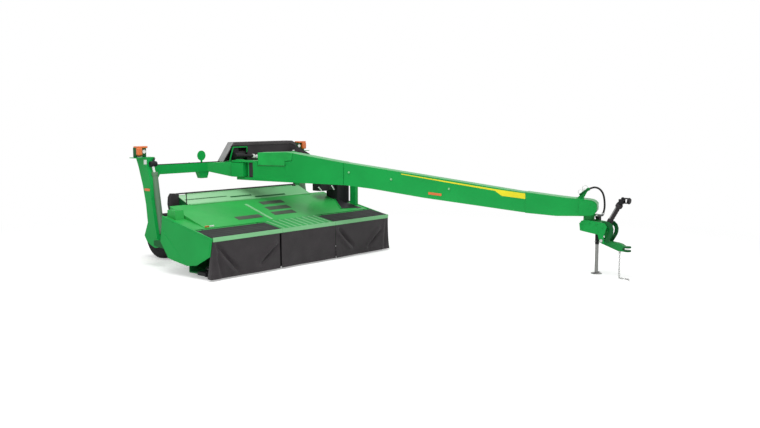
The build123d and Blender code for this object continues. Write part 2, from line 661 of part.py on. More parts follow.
def tube(points, radii, radius):
    """A round tube along straight runs joined by tangent arcs."""
    path = FilletPolyline(*points, radius=radii)
    section = Plane(origin=points[0], z_dir=Vector(*points[1]) - Vector(*points[0])) * Circle(radius)
    return sweep(section, path=path)


def hose_arch():
    """The sleeved hoses, up from the holder, over and down to the elbow."""
    radii = route_radii(HOSE_ROUTE)
    print("hose bends", [round(r) for r in radii])
    return on_tongue(tube(HOSE_ROUTE, radii, HOSE_RADIUS))


def hose_elbow():
    """A steel elbow from the hose's end to the collar of the swivel."""
    mouth = Vector(*HOSE_ROUTE[-1])
    way = (mouth - Vector(*HOSE_ROUTE[-2])).normalized()
    start = mouth + way * FIT
    corner = start + way * ((ELBOW_Z - start.Z) / way.Z)
    pipe = tube([tuple(start), tuple(corner), (0, -SWIVEL_AT - 80, ELBOW_Z)], [28], HOSE_RADIUS + 2)
    return on_tongue(pipe - rod((0, -SWIVEL_AT, 900), (0, -SWIVEL_AT, 1000), COLLAR_RADIUS + FIT))


# Hitch, drawn about its swivel axis

def hitch_frame():
    """Side plates that carry the gearcase and the drawbar's cross pin."""
    outline = [(110, 815), (95, 700), (-100, 672), (-205, 660), (-240, 540), (-320, 520), (-300, 640), (-355, 790),
               (-315, 845), (35, 877)]
    frame = None
    for x in both_sides(HITCH_HALF - PLATE, HITCH_HALF):
        plate = slab_yz(outline, x)
        frame = plate if frame is None else frame + plate
    frame += rod((-HITCH_HALF, -270, 570), (HITCH_HALF, -270, 570), 20)
    frame += block((HITCH_HALF, JACK_X - JACK_RADIUS - FIT), (JACK_Y - 30, JACK_Y + 30), (730, 790))
    return on_hitch(frame)


def hitch_gearcase():
    inner = HITCH_HALF - PLATE - FIT
    case = block((-inner, inner), (-250, 90), (700, 850))
    neck = Pos(0, 0, (850 + HITCH_TOP) / 2) * Cylinder(85, HITCH_TOP - 850)
    pin = Pos(0, 0, (HITCH_TOP + 1000) / 2) * Cylinder(SWIVEL_PIN_RADIUS, 1000 - HITCH_TOP)
    for x in both_sides(PTO_EYE_HALF + FIT, PTO_EYE_HALF + 14):
        case += block(x, (PTO_PIVOT[0] - 30, -249), (PTO_PIVOT[1] - 30, PTO_PIVOT[1] + 30))
    return on_hitch(case + neck + pin)


def hitch_guard():
    """Two curved plates inside the side plates, round the folded drive shaft."""
    outline = [(-285, 866), (-398, 868), (-455, 815), (-476, 758), (-472, 700), (-455, 655), (-385, 548),
               (-330, 556), (-345, 590), (-398, 655), (-420, 705), (-426, 752), (-410, 795), (-368, 828), (-285, 832)]
    low, high = HITCH_HALF - 2 * PLATE - FIT, HITCH_HALF - PLATE - FIT
    guard = None
    for x in both_sides(low, high):
        plate = slab_yz(outline, x)
        guard = plate if guard is None else guard + plate
    return on_hitch(guard)


def drawbar():
    """A bar on the cross pin, with a clevis of two round jaws."""
    bar = slab_yz([(-225, 605), (-235, 520), (-520, DRAWBAR_FOOT), (CLEVIS_AT, DRAWBAR_FOOT), (CLEVIS_AT, 505),
                   (-610, 505), (-560, 535), (-505, 548), (-347, 565), (-299, 598)], (-45, 45))
    bar += rod((0, CLEVIS_AT, DRAWBAR_FOOT), (0, CLEVIS_AT, 505), JAW_RADIUS)
    bar -= rod((-50, -270, 570), (50, -270, 570), 20 + FIT)
    bar -= block((-JAW_RADIUS - 1, JAW_RADIUS + 1), (CLEVIS_AT - JAW_RADIUS - 1, CLEVIS_AT + JAW_RADIUS),
                 (465 - CLEVIS_GAP / 2, 465 + CLEVIS_GAP / 2))
    bar -= rod((0, CLEVIS_AT, 400), (0, CLEVIS_AT, 520), HITCH_PIN_RADIUS)
    return on_hitch(bar)


def chain_link(here, there, lean):
    """One flat-sided link between two joints, turned about its long side by an angle."""
    way = (there - here).normalized()
    inner = (there - here).length / 2 - FIT
    ring = None
    for reach, half, corner, height in ((inner + LINK_WIRE, LINK_HALF, 8, LINK_WIRE), (inner, LINK_HALF - LINK_WIRE, 4, 10)):
        flat = [(reach, half - corner), (reach - corner, half), (corner - reach, half), (-reach, half - corner)]
        outline = flat + [(-x, -z) for x, z in flat]
        slab = slab_xy(outline, (-height / 2, height / 2))
        ring = slab if ring is None else ring - slab
    across = Vector(0, 1, 0) if abs(way.Z) > 0.5 else Vector(0, 0, 1)
    seat = Plane(origin=(here + there) / 2, x_dir=way, z_dir=way.cross(across))
    return seat * Rot(lean, 0, 0) * ring


def along_route(points, distance):
    """The point at a distance along a route."""
    for here, there in zip(points, points[1:]):
        run = Vector(*there) - Vector(*here)
        if distance <= run.length:
            return Vector(*here) + run.normalized() * distance
        distance -= run.length
    return Vector(*points[-1])


def safety_chain():
    """A chain from a shackle under the drawbar down to the ground and a short way over it."""
    foot = CHAIN_FLOOR[0]
    drop = CHAIN_TOP - CHAIN_REST
    count = round(drop / LINK_PITCH)
    joints = [Vector(*foot, CHAIN_TOP - number * drop / count) for number in range(count)]
    for number in range(CHAIN_ON_FLOOR + 1):
        spot = along_route(CHAIN_FLOOR, number * LINK_PITCH)
        joints.append(Vector(spot.X, spot.Y, CHAIN_REST))
    chain = block((foot[0] - 12, foot[0] + 12), (foot[1] - 9, foot[1] + 9), (CHAIN_TOP - 4, DRAWBAR_FOOT - FIT))
    for number, (here, there) in enumerate(zip(joints, joints[1:])):
        lean = 90 * (number % 2) if number < count else 45 - 90 * (number % 2)
        chain += chain_link(here, there, lean)
    print("chain in", len(chain.solids()), "solids, lowest", round(chain.bounding_box().min.Z, 2))
    return on_hitch(chain)


def pto_shaft():
    base = (0, *PTO_PIVOT)
    tip = (0, *PTO_TIP)
    way = (Vector(*tip) - Vector(*base)).normalized()
    shape = rod((-PTO_EYE_HALF, *PTO_PIVOT), (PTO_EYE_HALF, *PTO_PIVOT), 28)
    shape += rod(base, tip, 20)
    shape += rod(tuple(Vector(*base) + way * 60), tip, 38)
    shape += rod((-60, *PTO_TIP), (60, *PTO_TIP), 40)
    return on_hitch(shape + rod(tip, (0, YOKE_TIP, PTO_TIP[1]), 42))


def jack_sleeve():
    height = JACK_TOP - JACK_SLEEVE_BOTTOM
    tube = Cylinder(JACK_RADIUS, height) - Pos(0, 0, -10) * Cylinder(JACK_RADIUS - JACK_WALL, height)
    return on_hitch(Pos(JACK_X, JACK_Y, JACK_SLEEVE_BOTTOM + height / 2) * tube)


def jack_leg():
    inner = JACK_RADIUS - JACK_WALL - FIT
    leg_rod = rod((JACK_X, JACK_Y, 0), (JACK_X, JACK_Y, 580), inner)
    foot = Pos(JACK_X, JACK_Y, JACK_FOOT / 2) * Cylinder(85, JACK_FOOT)
    return on_hitch(leg_rod + foot)


parts = {
    "crossbar": crossbar(),
    "pivot_head": pivot_head(),
    "leg_right": leg(-1),
    "leg_left": leg(1),
    "lamps": lamps(),
    "shroud": shroud(),
    "shroud_wing": shroud_wing(),
    "gearcases": gearcases(),
    "cross_shaft": cross_shaft(),
    "cutterbar": cutterbar(),
    "header_frame": header_frame(),
    "deck": deck(),
    "rear_hood": rear_hood(),
    "roll_lower": roll(LOWER_ROLL, 0),
    "roll_upper": roll(UPPER_ROLL, 180 / ROLL_LUGS),
    "centre_section": centre_section(),
    "centre_curtain": centre_curtain(),
    "forming_shields": forming_shields(),
    "drive_tower": drive_tower(),
    "drive_guard": drive_guard(),
    "tongue_box": tongue_box(),
    "tongue_cover": tongue_cover(),
    "tongue_beam": tongue_beam(),
    "hose_holder": hose_holder(),
    "hose_arch": hose_arch(),
    "hose_elbow": hose_elbow(),
    "hitch_frame": hitch_frame(),
    "hitch_gearcase": hitch_gearcase(),
    "hitch_guard": hitch_guard(),
    "drawbar": drawbar(),
    "safety_chain": safety_chain(),
    "pto_shaft": pto_shaft(),
    "jack_sleeve": jack_sleeve(),
    "jack_leg": jack_leg(),
    "cylinder_barrel": cylinder_barrel(),
    "cylinder_rod": cylinder_rod(),
}
for side, word in ((-1, "right"), (1, "left")):
    parts["rim_" + word] = rim(side)
    parts["tyre_" + word] = tyre(side)
    parts["side_panel_" + word] = side_panel(side)
    parts["door_frame_" + word] = door_frame(side)
    parts["door_panel_" + word] = door_panel(side)
    parts["door_curtain_" + word] = door_curtain(side)
for index in range(DISC_COUNT):
    parts["rotor_" + str(index + 1)] = rotor(index)

os.makedirs("parts", exist_ok=True)
low = [1e9, 1e9, 1e9]
high = [-1e9, -1e9, -1e9]
for name, shape in parts.items():
    placed = Pos(-ORIGIN_X, -ORIGIN_Y, 0) * shape
    export_step(placed, "parts/" + name + ".step")
    bounds = placed.bounding_box()
    low = [min(a, b) for a, b in zip(low, bounds.min)]
    high = [max(a, b) for a, b in zip(high, bounds.max)]
print("box from", [round(v, 1) for v in low], "to", [round(v, 1) for v in high])
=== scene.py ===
# %% [markdown]
# # A trailed disc mower conditioner
# The machine stands as it parks: the header rests on its skid shoes, two wheels carry the trail
# frame, and a jack holds the front end of the long tongue. The solid frame is fixed and exact.
# This lesson dresses it: softened plate edges, folded sheets, cloth curtains, hoses and finishes.

# %% Load the frame
import json
import math

import bmesh
import bpy
from mathutils import Matrix, Vector

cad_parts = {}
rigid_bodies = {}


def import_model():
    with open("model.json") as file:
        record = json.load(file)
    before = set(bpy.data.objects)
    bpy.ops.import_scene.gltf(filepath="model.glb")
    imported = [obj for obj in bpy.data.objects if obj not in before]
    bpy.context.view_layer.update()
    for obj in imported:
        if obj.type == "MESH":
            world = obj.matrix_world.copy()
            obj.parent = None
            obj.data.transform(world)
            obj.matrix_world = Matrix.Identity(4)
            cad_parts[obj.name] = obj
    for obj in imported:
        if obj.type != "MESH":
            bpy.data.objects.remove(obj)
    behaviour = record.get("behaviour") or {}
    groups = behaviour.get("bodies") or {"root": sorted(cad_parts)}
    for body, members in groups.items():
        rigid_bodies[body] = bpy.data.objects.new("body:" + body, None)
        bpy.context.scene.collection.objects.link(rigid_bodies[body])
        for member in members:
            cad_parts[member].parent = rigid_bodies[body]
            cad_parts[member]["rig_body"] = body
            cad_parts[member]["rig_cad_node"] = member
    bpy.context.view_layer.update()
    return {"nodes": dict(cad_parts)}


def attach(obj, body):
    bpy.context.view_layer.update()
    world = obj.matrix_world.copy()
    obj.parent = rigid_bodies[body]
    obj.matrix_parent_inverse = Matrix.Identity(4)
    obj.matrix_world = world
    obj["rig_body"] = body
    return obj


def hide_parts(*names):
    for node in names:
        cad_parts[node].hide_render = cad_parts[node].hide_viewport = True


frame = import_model()
nodes = frame["nodes"]

# %% [markdown]
# ## Places
# The machine is drawn about its own centreline and the front face of its crossbar, and the tongue
# about its pivot. Three matrices turn such places into the frame's coordinates, so that every size
# below is one that could be measured on the machine with a tape. STAY moves nothing: a piece made
# with it waits where it was drawn, and is moved once it has been joined to others.

# %% Places on the machine, the tongue and the hitch
CENTRE_X = -0.144
BAR_FRONT_Y = 3.065
PIVOT_Y = -0.350
SWING = math.radians(20.3)
SWIVEL_AT = 6.120


def on_machine(x, y, z):
    """A place from the centreline, the crossbar's front face and the ground."""
    return Vector((x + CENTRE_X, y + BAR_FRONT_Y, z))


MACHINE = Matrix.Translation(on_machine(0, 0, 0))
TONGUE = Matrix.Translation(on_machine(0, PIVOT_Y, 0)) @ Matrix.Rotation(SWING, 4, "Z")
SWIVEL = TONGUE @ Vector((0, -SWIVEL_AT, 0))
HITCH = Matrix.Translation(SWIVEL)
STAY = Matrix.Identity(4)
print("the hitch swivels at", [round(value, 3) for value in SWIVEL])

# %% [markdown]
# ## Camera
# The photograph looks across the header from the machine's right and a little above the tongue.
# Its lens is known from the lines of the header and the tongue, so the camera is simply placed there.

# %% Camera
CAMERA_AT = (-10.611, -9.2765, 2.4918)
CAMERA_PITCH = math.radians(90 - 6.41)
CAMERA_YAW = math.radians(-50.15)
CAMERA_LENS = 41.70
bpy.ops.object.camera_add(location=CAMERA_AT, rotation=(CAMERA_PITCH, 0, CAMERA_YAW))
camera = bpy.context.object
camera.data.sensor_width = 36.0
camera.data.lens = CAMERA_LENS
bpy.context.scene.camera = camera

# %% [markdown]
# ## Studio
# A white studio is a bright even world, one broad lamp above and a weak one beside the camera. What
# the camera and reflections see of the world is plain white, and the object is lit at a level at
# which a colour shows about as it is written. The floor is white too and fades into that white
# further out, so that only the shadow near the machine tells where it stands.

# %% World and lamps
scene = bpy.context.scene
scene.view_settings.view_transform = "Standard"
WORLD_LIGHT = 0.42
WHITE = (1.0, 1.0, 1.0, 1.0)


def add_node(tree, kind, values=None, **settings):
    """A shader node with its settings, and the values of its sockets."""
    made = tree.nodes.new("ShaderNode" + kind)
    for name, value in settings.items():
        setattr(made, name, value)
    for socket, value in (values or {}).items():
        made.inputs[socket].default_value = value
    return made


def connect(tree, *rows):
    """Links, each written as a node and its output, then a node and its input."""
    for source, output, target, socket in rows:
        tree.links.new(source.outputs[output], target.inputs[socket])


def studio_world():
    world = bpy.data.worlds.new("studio")
    world.use_nodes = True
    tree = world.node_tree
    tree.nodes.clear()
    out = add_node(tree, "OutputWorld")
    mix = add_node(tree, "MixShader")
    ambient = add_node(tree, "Background", {"Color": WHITE, "Strength": WORLD_LIGHT})
    white = add_node(tree, "Background", {"Color": WHITE, "Strength": 1.0})
    path = add_node(tree, "LightPath")
    either = add_node(tree, "Math", operation="MAXIMUM")
    seen = add_node(tree, "Math", operation="MAXIMUM")
    connect(tree, (path, "Is Camera Ray", seen, 0), (path, "Is Glossy Ray", seen, 1), (seen, 0, either, 0),
            (path, "Is Transmission Ray", either, 1), (either, 0, mix, 0), (ambient, 0, mix, 1),
            (white, 0, mix, 2), (mix, 0, out, "Surface"))
    scene.world = world


def area_lamp(name, place, aim, size, watts):
    bpy.ops.object.light_add(type="AREA", location=place)
    lamp = bpy.context.object
    lamp.name = name
    lamp.data.size = size
    lamp.data.energy = watts
    lamp.rotation_euler = (Vector(aim) - Vector(place)).to_track_quat("-Z", "Y").to_euler()


studio_world()
area_lamp("lamp_above", (-2.0, -1.0, 9.0), (0, 1.0, 0), 8.0, 620)
area_lamp("lamp_beside", (-9.0, -3.0, 4.0), (0, 1.0, 1.0), 5.0, 170)

# %% Floor
FLOOR_NEAR = 5.5
FLOOR_FAR = 9.5
FLOOR_LIFT = 0.40


def floor_material():
    material = bpy.data.materials.new("floor")
    material.use_nodes = True
    tree = material.node_tree
    tree.nodes.clear()
    out = add_node(tree, "OutputMaterial")
    mix = add_node(tree, "MixShader")
    matt = add_node(tree, "BsdfDiffuse", {"Color": (0.97, 0.97, 0.97, 1.0)})
    lift = add_node(tree, "Emission")
    lifted = add_node(tree, "AddShader")
    path = add_node(tree, "LightPath")
    share = add_node(tree, "Math", {1: FLOOR_LIFT}, operation="MULTIPLY")
    glow = add_node(tree, "Emission", {"Strength": 1.0})
    place = add_node(tree, "TexCoord")
    reach = add_node(tree, "VectorMath", operation="LENGTH")
    fade = add_node(tree, "MapRange", {"From Min": FLOOR_NEAR, "From Max": FLOOR_FAR})
    connect(tree, (path, "Is Camera Ray", share, 0), (share, 0, lift, "Strength"), (matt, 0, lifted, 0),
            (lift, 0, lifted, 1), (place, "Object", reach, 0), (reach, "Value", fade, "Value"),
            (fade, "Result", mix, 0), (lifted, 0, mix, 1), (glow, 0, mix, 2), (mix, 0, out, "Surface"))
    return material


bpy.ops.mesh.primitive_plane_add(size=80, location=(0, 0, 0))
floor = bpy.context.object
floor.name = "floor"
floor.data.materials.append(floor_material())

# %% [markdown]
# ## Finishes
# Every finish is one Principled shader with small, real variation: paint has a slight orange peel
# under a thin coat, cloth has its weave, rubber is mottled and steel is brushed. A few finishes also
# carry painted light: the hood's paint has a painted glare that fades across it, and some pale
# greens, greys and whites are painted highlights. The patterns read Object coordinates, in metres,
# so a scale of 300 means a grain of about three millimetres. Only the weave follows the cloth's own
# UV map, so that it bends with the sheet.

# %% Materials
def shader(name, colour, roughness, metallic=0.0, coat=0.0, specular=0.5):
    """A material with one Principled shader, and the tree to add detail to."""
    material = bpy.data.materials.new(name)
    material.use_nodes = True
    tree = material.node_tree
    surface = tree.nodes["Principled BSDF"]
    values = {"Base Color": (*colour, 1.0), "Roughness": roughness, "Metallic": metallic,
              "Coat Weight": coat, "Coat Roughness": 0.08, "Specular IOR Level": specular}
    for socket, value in values.items():
        surface.inputs[socket].default_value = value
    return material, tree, surface


def noise(tree, scale, detail=3.0):
    """Noise on Object coordinates."""
    place = add_node(tree, "TexCoord")
    pattern = add_node(tree, "TexNoise", {"Scale": scale, "Detail": detail})
    connect(tree, (place, "Object", pattern, "Vector"))
    return pattern


def colour_ramp(tree, surface, source, output, low, high, ends=(0.0, 1.0)):
    """Colour the surface by a ramp between two colours."""
    ramp = add_node(tree, "ValToRGB")
    for element, colour, at in zip(ramp.color_ramp.elements, (low, high), ends):
        element.position = at
        element.color = (*colour, 1.0)
    connect(tree, (source, output, ramp, "Fac"), (ramp, "Color", surface, "Base Color"))


def vary_colour(tree, surface, pattern, colour, spread_low, spread_high):
    dark, light = (tuple(channel * factor for channel in colour) for factor in (spread_low, spread_high))
    colour_ramp(tree, surface, pattern, "Fac", dark, light, (0.35, 0.65))


def vary_roughness(tree, surface, pattern, low, high):
    span = add_node(tree, "MapRange", {"To Min": low, "To Max": high})
    connect(tree, (pattern, "Fac", span, "Value"), (span, "Result", surface, "Roughness"))


def bump(tree, surface, pattern, height, strength=1.0):
    """Relief whose depth is height, in metres."""
    relief = add_node(tree, "Bump", {"Strength": strength, "Distance": height})
    connect(tree, (pattern, "Fac", relief, "Height"), (relief, "Normal", surface, "Normal"))


def fade_across(name, left, right, low_x, high_x):
    """Paint whose colour changes slowly across the machine: a painted glare, palest at one end and fading
    towards the other.
    """
    material, tree, surface = shader(name, left, 0.42, coat=0.03, specular=0.12)
    place = add_node(tree, "TexCoord")
    parts = add_node(tree, "SeparateXYZ")
    span = add_node(tree, "MapRange", {"From Min": low_x, "From Max": high_x})
    connect(tree, (place, "Object", parts, "Vector"), (parts, "X", span, "Value"))
    colour_ramp(tree, surface, span, "Result", left, right)
    bump(tree, surface, noise(tree, 260.0, 2.0), 0.00012)
    return material


def paint(name, colour, roughness=0.30, coat=0.03):
    """Sprayed paint: nearly even colour, a coat and an orange peel of a few millimetres."""
    material, tree, surface = shader(name, colour, roughness, coat=coat, specular=0.12)
    vary_colour(tree, surface, noise(tree, 1.7), colour, 0.94, 1.05)
    vary_roughness(tree, surface, noise(tree, 9.0, 5.0), roughness - 0.06, roughness + 0.1)
    bump(tree, surface, noise(tree, 260.0, 2.0), 0.00012)
    return material


def moulded(name, colour, roughness=0.55, grain=700.0):
    """Moulded plastic with a fine leather-like grain."""
    material, tree, surface = shader(name, colour, roughness, specular=0.22)
    vary_colour(tree, surface, noise(tree, 3.0), colour, 0.85, 1.15)
    bump(tree, surface, noise(tree, grain, 2.0), 0.0002)
    return material


def metal(name, colour, roughness):
    """Brushed steel."""
    material, tree, surface = shader(name, colour, roughness, metallic=1.0)
    scratch = noise(tree, 160.0, 4.0)
    vary_roughness(tree, surface, scratch, roughness - 0.08, roughness + 0.14)
    bump(tree, surface, scratch, 0.00008)
    return material


def cloth(name, colour):
    """Coated curtain cloth: a plain weave of fine threads under a dull skin."""
    material, tree, surface = shader(name, colour, 0.5, specular=0.30)
    surface.inputs["Sheen Weight"].default_value = 0.08
    place = add_node(tree, "TexCoord")
    weave = add_node(tree, "TexBrick", {"Scale": 240.0, "Mortar Size": 0.06})
    connect(tree, (place, "UV", weave, "Vector"))
    bump(tree, surface, weave, 0.0004, 0.6)
    vary_colour(tree, surface, noise(tree, 4.0, 5.0), colour, 0.82, 1.18)
    return material


def glass(name, colour, roughness, coat):
    return shader(name, colour, roughness, coat=coat)[0]


RECIPES = (
    (paint, "green", (0.008, 0.345, 0.064)),
    (paint, "deck_green", (0.034, 0.400, 0.080), 0.36),
    # A paler green that paints the highlights on raised edges, ribs, bars and bolt heads.
    (paint, "pale_green", (0.230, 0.560, 0.270), 0.4),
    (paint, "step_green", (0.040, 0.330, 0.085), 0.45),
    # Painted glare on the rear hood: palest at one end, fading across it.
    (fade_across, "hood_green", (0.360, 0.640, 0.380), (0.180, 0.500, 0.220), -1.5, 0.9),
    (paint, "yellow", (0.85, 0.76, 0.03)),
    (paint, "rim_yellow", (0.80, 0.62, 0.03)),
    (paint, "black", (0.018, 0.018, 0.020), 0.4),
    (paint, "dark_green", (0.008, 0.11, 0.028), 0.4),
    (moulded, "plastic_green", (0.010, 0.375, 0.068), 0.42),
    (moulded, "dark_plastic", (0.033, 0.028, 0.031), 0.5),
    # A light grey that paints highlights on black plastic.
    (moulded, "worn_plastic", (0.300, 0.300, 0.300), 0.5),
    # A lighter grey that paints the lit top band of the shroud's lip.
    (moulded, "dull_plastic", (0.062, 0.055, 0.058), 0.5),
    (moulded, "grip", (0.072, 0.098, 0.070), 0.9, 240.0),
    (moulded, "black_grip", (0.036, 0.040, 0.038), 0.85, 300.0),
    (moulded, "tyre", (0.020, 0.020, 0.021), 0.8, 420.0),
    (moulded, "hose", (0.014, 0.014, 0.015), 0.45, 500.0),
    (glass, "lens", (0.70, 0.150, 0.020), 0.15, 0.3),
    (glass, "clear_lens", (0.85, 0.86, 0.84), 0.12, 0.6),
    (metal, "steel", (0.56, 0.56, 0.55), 0.32),
    (metal, "dark_steel", (0.16, 0.16, 0.165), 0.45),
    (metal, "worn_steel", (0.30, 0.30, 0.29), 0.45),
    (paint, "cast", (0.012, 0.24, 0.05), 0.5, 0.1),
    (paint, "grey_green", (0.130, 0.220, 0.140), 0.35),
    # White paint, which on the lift rods, the drive joint and the drive links is a painted highlight.
    (paint, "white", (0.80, 0.82, 0.80), 0.35),
    (cloth, "curtain", (0.025, 0.020, 0.023)),
)
finishes = {recipe[1]: recipe[0](*recipe[1:]) for recipe in RECIPES}
print(len(finishes), "finishes")

# %% [markdown]
# ## Tools of the lesson
# Most of the frame is right in shape and only too sharp: real plates are cut, folded and welded, and
# their edges catch light. A copy of such a node is merged, its flat faces are joined again, and a
# Bevel modifier rounds the edges. New pieces start as primitives, or as filled outlines where they are
# plates, and are shaped in edit mode.

# %% Helpers for pieces
SMOOTH_UNDER = math.radians(32)
FLAT_UNDER = math.radians(0.5)
NODE_WELD = 0.00002
WELD = 0.00005


def only(piece):
    """Select one object alone and make it active."""
    bpy.ops.object.select_all(action="DESELECT")
    piece.select_set(True)
    bpy.context.view_layer.objects.active = piece


def edit(piece):
    only(piece)
    bpy.ops.object.mode_set(mode="EDIT")
    bpy.ops.mesh.select_all(action="SELECT")


def done():
    bpy.ops.object.mode_set(mode="OBJECT")


def apply_place(piece, place=None):
    """Put a piece where a matrix says, then keep that place in its mesh."""
    if place is not None:
        piece.matrix_world = place @ piece.matrix_world
    only(piece)
    bpy.ops.object.transform_apply(location=True, rotation=True, scale=True)


def round_edges(piece, width, segments=2, angle=30):
    """A Bevel modifier on every edge sharper than an angle, applied."""
    only(piece)
    bevel = piece.modifiers.new("edges", "BEVEL")
    bevel.width = width
    bevel.segments = segments
    bevel.limit_method = "ANGLE"
    bevel.angle_limit = math.radians(angle)
    bpy.ops.object.modifier_apply(modifier="edges")


def fit_out(piece, body, slot, finish=None, replaces=(), place=None):
    """Give a piece its place, its finish, its smooth shading and the body that it rides on."""
    if place is not None:
        apply_place(piece, place)
    only(piece)
    bpy.ops.object.shade_smooth_by_angle(angle=SMOOTH_UNDER)
    even = piece.modifiers.new("even", "WEIGHTED_NORMAL")
    even.keep_sharp = True
    bpy.ops.object.modifier_apply(modifier="even")
    if not piece.data.materials:
        piece.data.materials.append(finishes[finish or slot])
    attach(piece, body)
    if replaces:
        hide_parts(*replaces)
    return piece


def dressed(node, slot, finish, width):
    """A copy of a node with its edges rounded, which stands for the node."""
    source = nodes[node]
    body = source["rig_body"]
    only(source)
    bpy.ops.object.duplicate()
    copy = bpy.context.object
    copy.name = node + "_dressed"
    del copy["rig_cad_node"]
    copy.parent = None
    copy.data.materials.clear()
    edit(copy)
    bpy.ops.mesh.remove_doubles(threshold=NODE_WELD)
    bpy.ops.mesh.dissolve_limited(angle_limit=FLAT_UNDER)
    done()
    round_edges(copy, width)
    return fit_out(copy, body, slot, finish, (node,))


def block(name, low, high, bevel=0.004, segments=2, place=MACHINE):
    """A box primitive between two corners, edges rounded, left in place for further shaping."""
    low = Vector(low)
    high = Vector(high)
    bpy.ops.mesh.primitive_cube_add(size=1, location=(low + high) / 2)
    piece = bpy.context.object
    piece.name = name
    piece.scale = high - low
    apply_place(piece)
    if bevel:
        round_edges(piece, bevel, segments)
    apply_place(piece, place)
    return piece


def drum(name, start, end, radius, sides=32, bevel=0.002, place=MACHINE):
    """A cylinder primitive from one point to another, rims rounded."""
    start = Vector(start)
    end = Vector(end)
    way = end - start
    bpy.ops.mesh.primitive_cylinder_add(vertices=sides, radius=radius, depth=way.length)
    piece = bpy.context.object
    piece.name = name
    turn = way.to_track_quat("Z", "Y").to_matrix().to_4x4()
    if bevel:
        round_edges(piece, bevel, 2)
    apply_place(piece, place @ Matrix.Translation((start + end) / 2) @ turn)
    return piece


def plate(name, outline, thickness, turn, bevel=0.002, place=MACHINE):
    """A flat filled curve along an outline, made thick and then a mesh."""
    curve = bpy.data.curves.new(name, "CURVE")
    curve.dimensions = "2D"
    curve.fill_mode = "BOTH"
    curve.extrude = thickness / 2 - bevel
    curve.bevel_depth = bevel
    curve.bevel_resolution = 1
    curve.offset = -bevel
    spline = curve.splines.new("POLY")
    spline.points.add(len(outline) - 1)
    for point, (across, up) in zip(spline.points, outline):
        point.co = (across, up, 0, 1)
    spline.use_cyclic_u = True
    piece = bpy.data.objects.new(name, curve)
    scene.collection.objects.link(piece)
    only(piece)
    bpy.ops.object.convert(target="MESH")
    piece = bpy.context.object
    edit(piece)
    bpy.ops.mesh.remove_doubles(threshold=WELD)
    bpy.ops.mesh.normals_make_consistent(inside=False)
    done()
    apply_place(piece, place @ turn)
    return piece


def facing_side(x):
    """Turns a flat outline of (Y, Z) pairs upright at a distance x from the centreline."""
    return Matrix(((0, 0, 1, x), (1, 0, 0, 0), (0, 1, 0, 0), (0, 0, 0, 1)))


def facing_front(y):
    """Turns a flat outline of (X, Z) pairs upright at a distance y from the crossbar."""
    return Matrix(((1, 0, 0, 0), (0, 0, 1, y), (0, 1, 0, 0), (0, 0, 0, 1)))


def joined(name, pieces):
    """Several meshes made one piece."""
    bpy.ops.object.select_all(action="DESELECT")
    for piece in pieces:
        piece.select_set(True)
    bpy.context.view_layer.objects.active = pieces[0]
    bpy.ops.object.join()
    piece = bpy.context.object
    piece.name = name
    return piece


def spaced(first, pitch, count):
    """Evenly spaced values."""
    return [first + pitch * number for number in range(count)]


def around(radius, turn, count, tall=None):
    """Offsets of points round a circle, or round an ellipse whose second radius is tall."""
    return [(radius * math.cos(n * turn), (tall or radius) * math.sin(n * turn)) for n in range(count)]


def pick_faces(piece, test):
    """In edit mode, select the faces whose centre and normal pass a test."""
    bpy.ops.mesh.select_all(action="DESELECT")
    mesh = bmesh.from_edit_mesh(piece.data)
    for face in mesh.faces:
        face.select_set(test(face.calc_center_median(), face.normal))
    bmesh.update_edit_mesh(piece.data)

# %% [markdown]
# ## Frame, legs and pivot head
# These are welded plates and castings whose shapes the solid frame already holds, so they only get
# softened edges. The width of the edge follows the thickness of the plate.

# %% Welded frame pieces
EDGED = {
    "crossbar": ("green", None, 0.006),
    "pivot_head": ("green", None, 0.008),
    "leg_right": ("green", None, 0.007),
    "leg_left": ("green", None, 0.007),
    # The gearcases are finished black: painted shade under the header.
    "gearcases": ("green", "black", 0.012),
    "cross_shaft": ("dark_plastic", None, 0.004),
    "shroud_wing": ("dark_plastic", None, 0.003),
    # The cutterbar is finished black: painted shade under the header.
    "cutterbar": ("green", "black", 0.004),
    "header_frame": ("green", "dark_green", 0.002),
    "deck": ("deck_green", None, 0.002),
    # The hood's finish is a painted glare that fades across it.
    "rear_hood": ("deck_green", "hood_green", 0.002),
    "centre_section": ("deck_green", "step_green", 0.002),
    "forming_shields": ("green", None, 0.003),
    "drive_tower": ("green", None, 0.010),
    "tongue_cover": ("plastic_green", None, 0.010),
    "hitch_frame": ("green", None, 0.003),
    "hitch_gearcase": ("green", "cast", 0.006),
    "drawbar": ("cast", None, 0.008),
    "jack_sleeve": ("black", None, 0.002),
    "jack_leg": ("steel", "worn_steel", 0.003),
    "cylinder_barrel": ("black", None, 0.003),
    "cylinder_rod": ("steel", None, 0.002),
    "roll_lower": ("steel", "dark_steel", 0.002),
    "roll_upper": ("steel", "dark_steel", 0.002),
}
for side in ("right", "left"):
    EDGED["rim_" + side] = ("yellow", "rim_yellow", 0.003)
    EDGED["door_frame_" + side] = ("deck_green", None, 0.004)
    EDGED["door_panel_" + side] = ("black", "black_grip", 0.002)
for number in range(1, 9):
    EDGED["rotor_" + str(number)] = ("steel", "dark_steel", 0.002)
for node, (slot, finish, width) in EDGED.items():
    dressed(node, slot, finish, width)
print(len(EDGED), "nodes dressed")

# %% [markdown]
# ## Tongue
# The tongue is a long welded box. Each side wall is folded once along its middle, 14 millimetres
# inwards, so its upper and lower halves catch the light differently. A cube is cut level through its
# middle, its middle edges are pushed in, and its end is extruded from station to station, changing
# height as it goes. Thin flanges made the same way close it above and below.

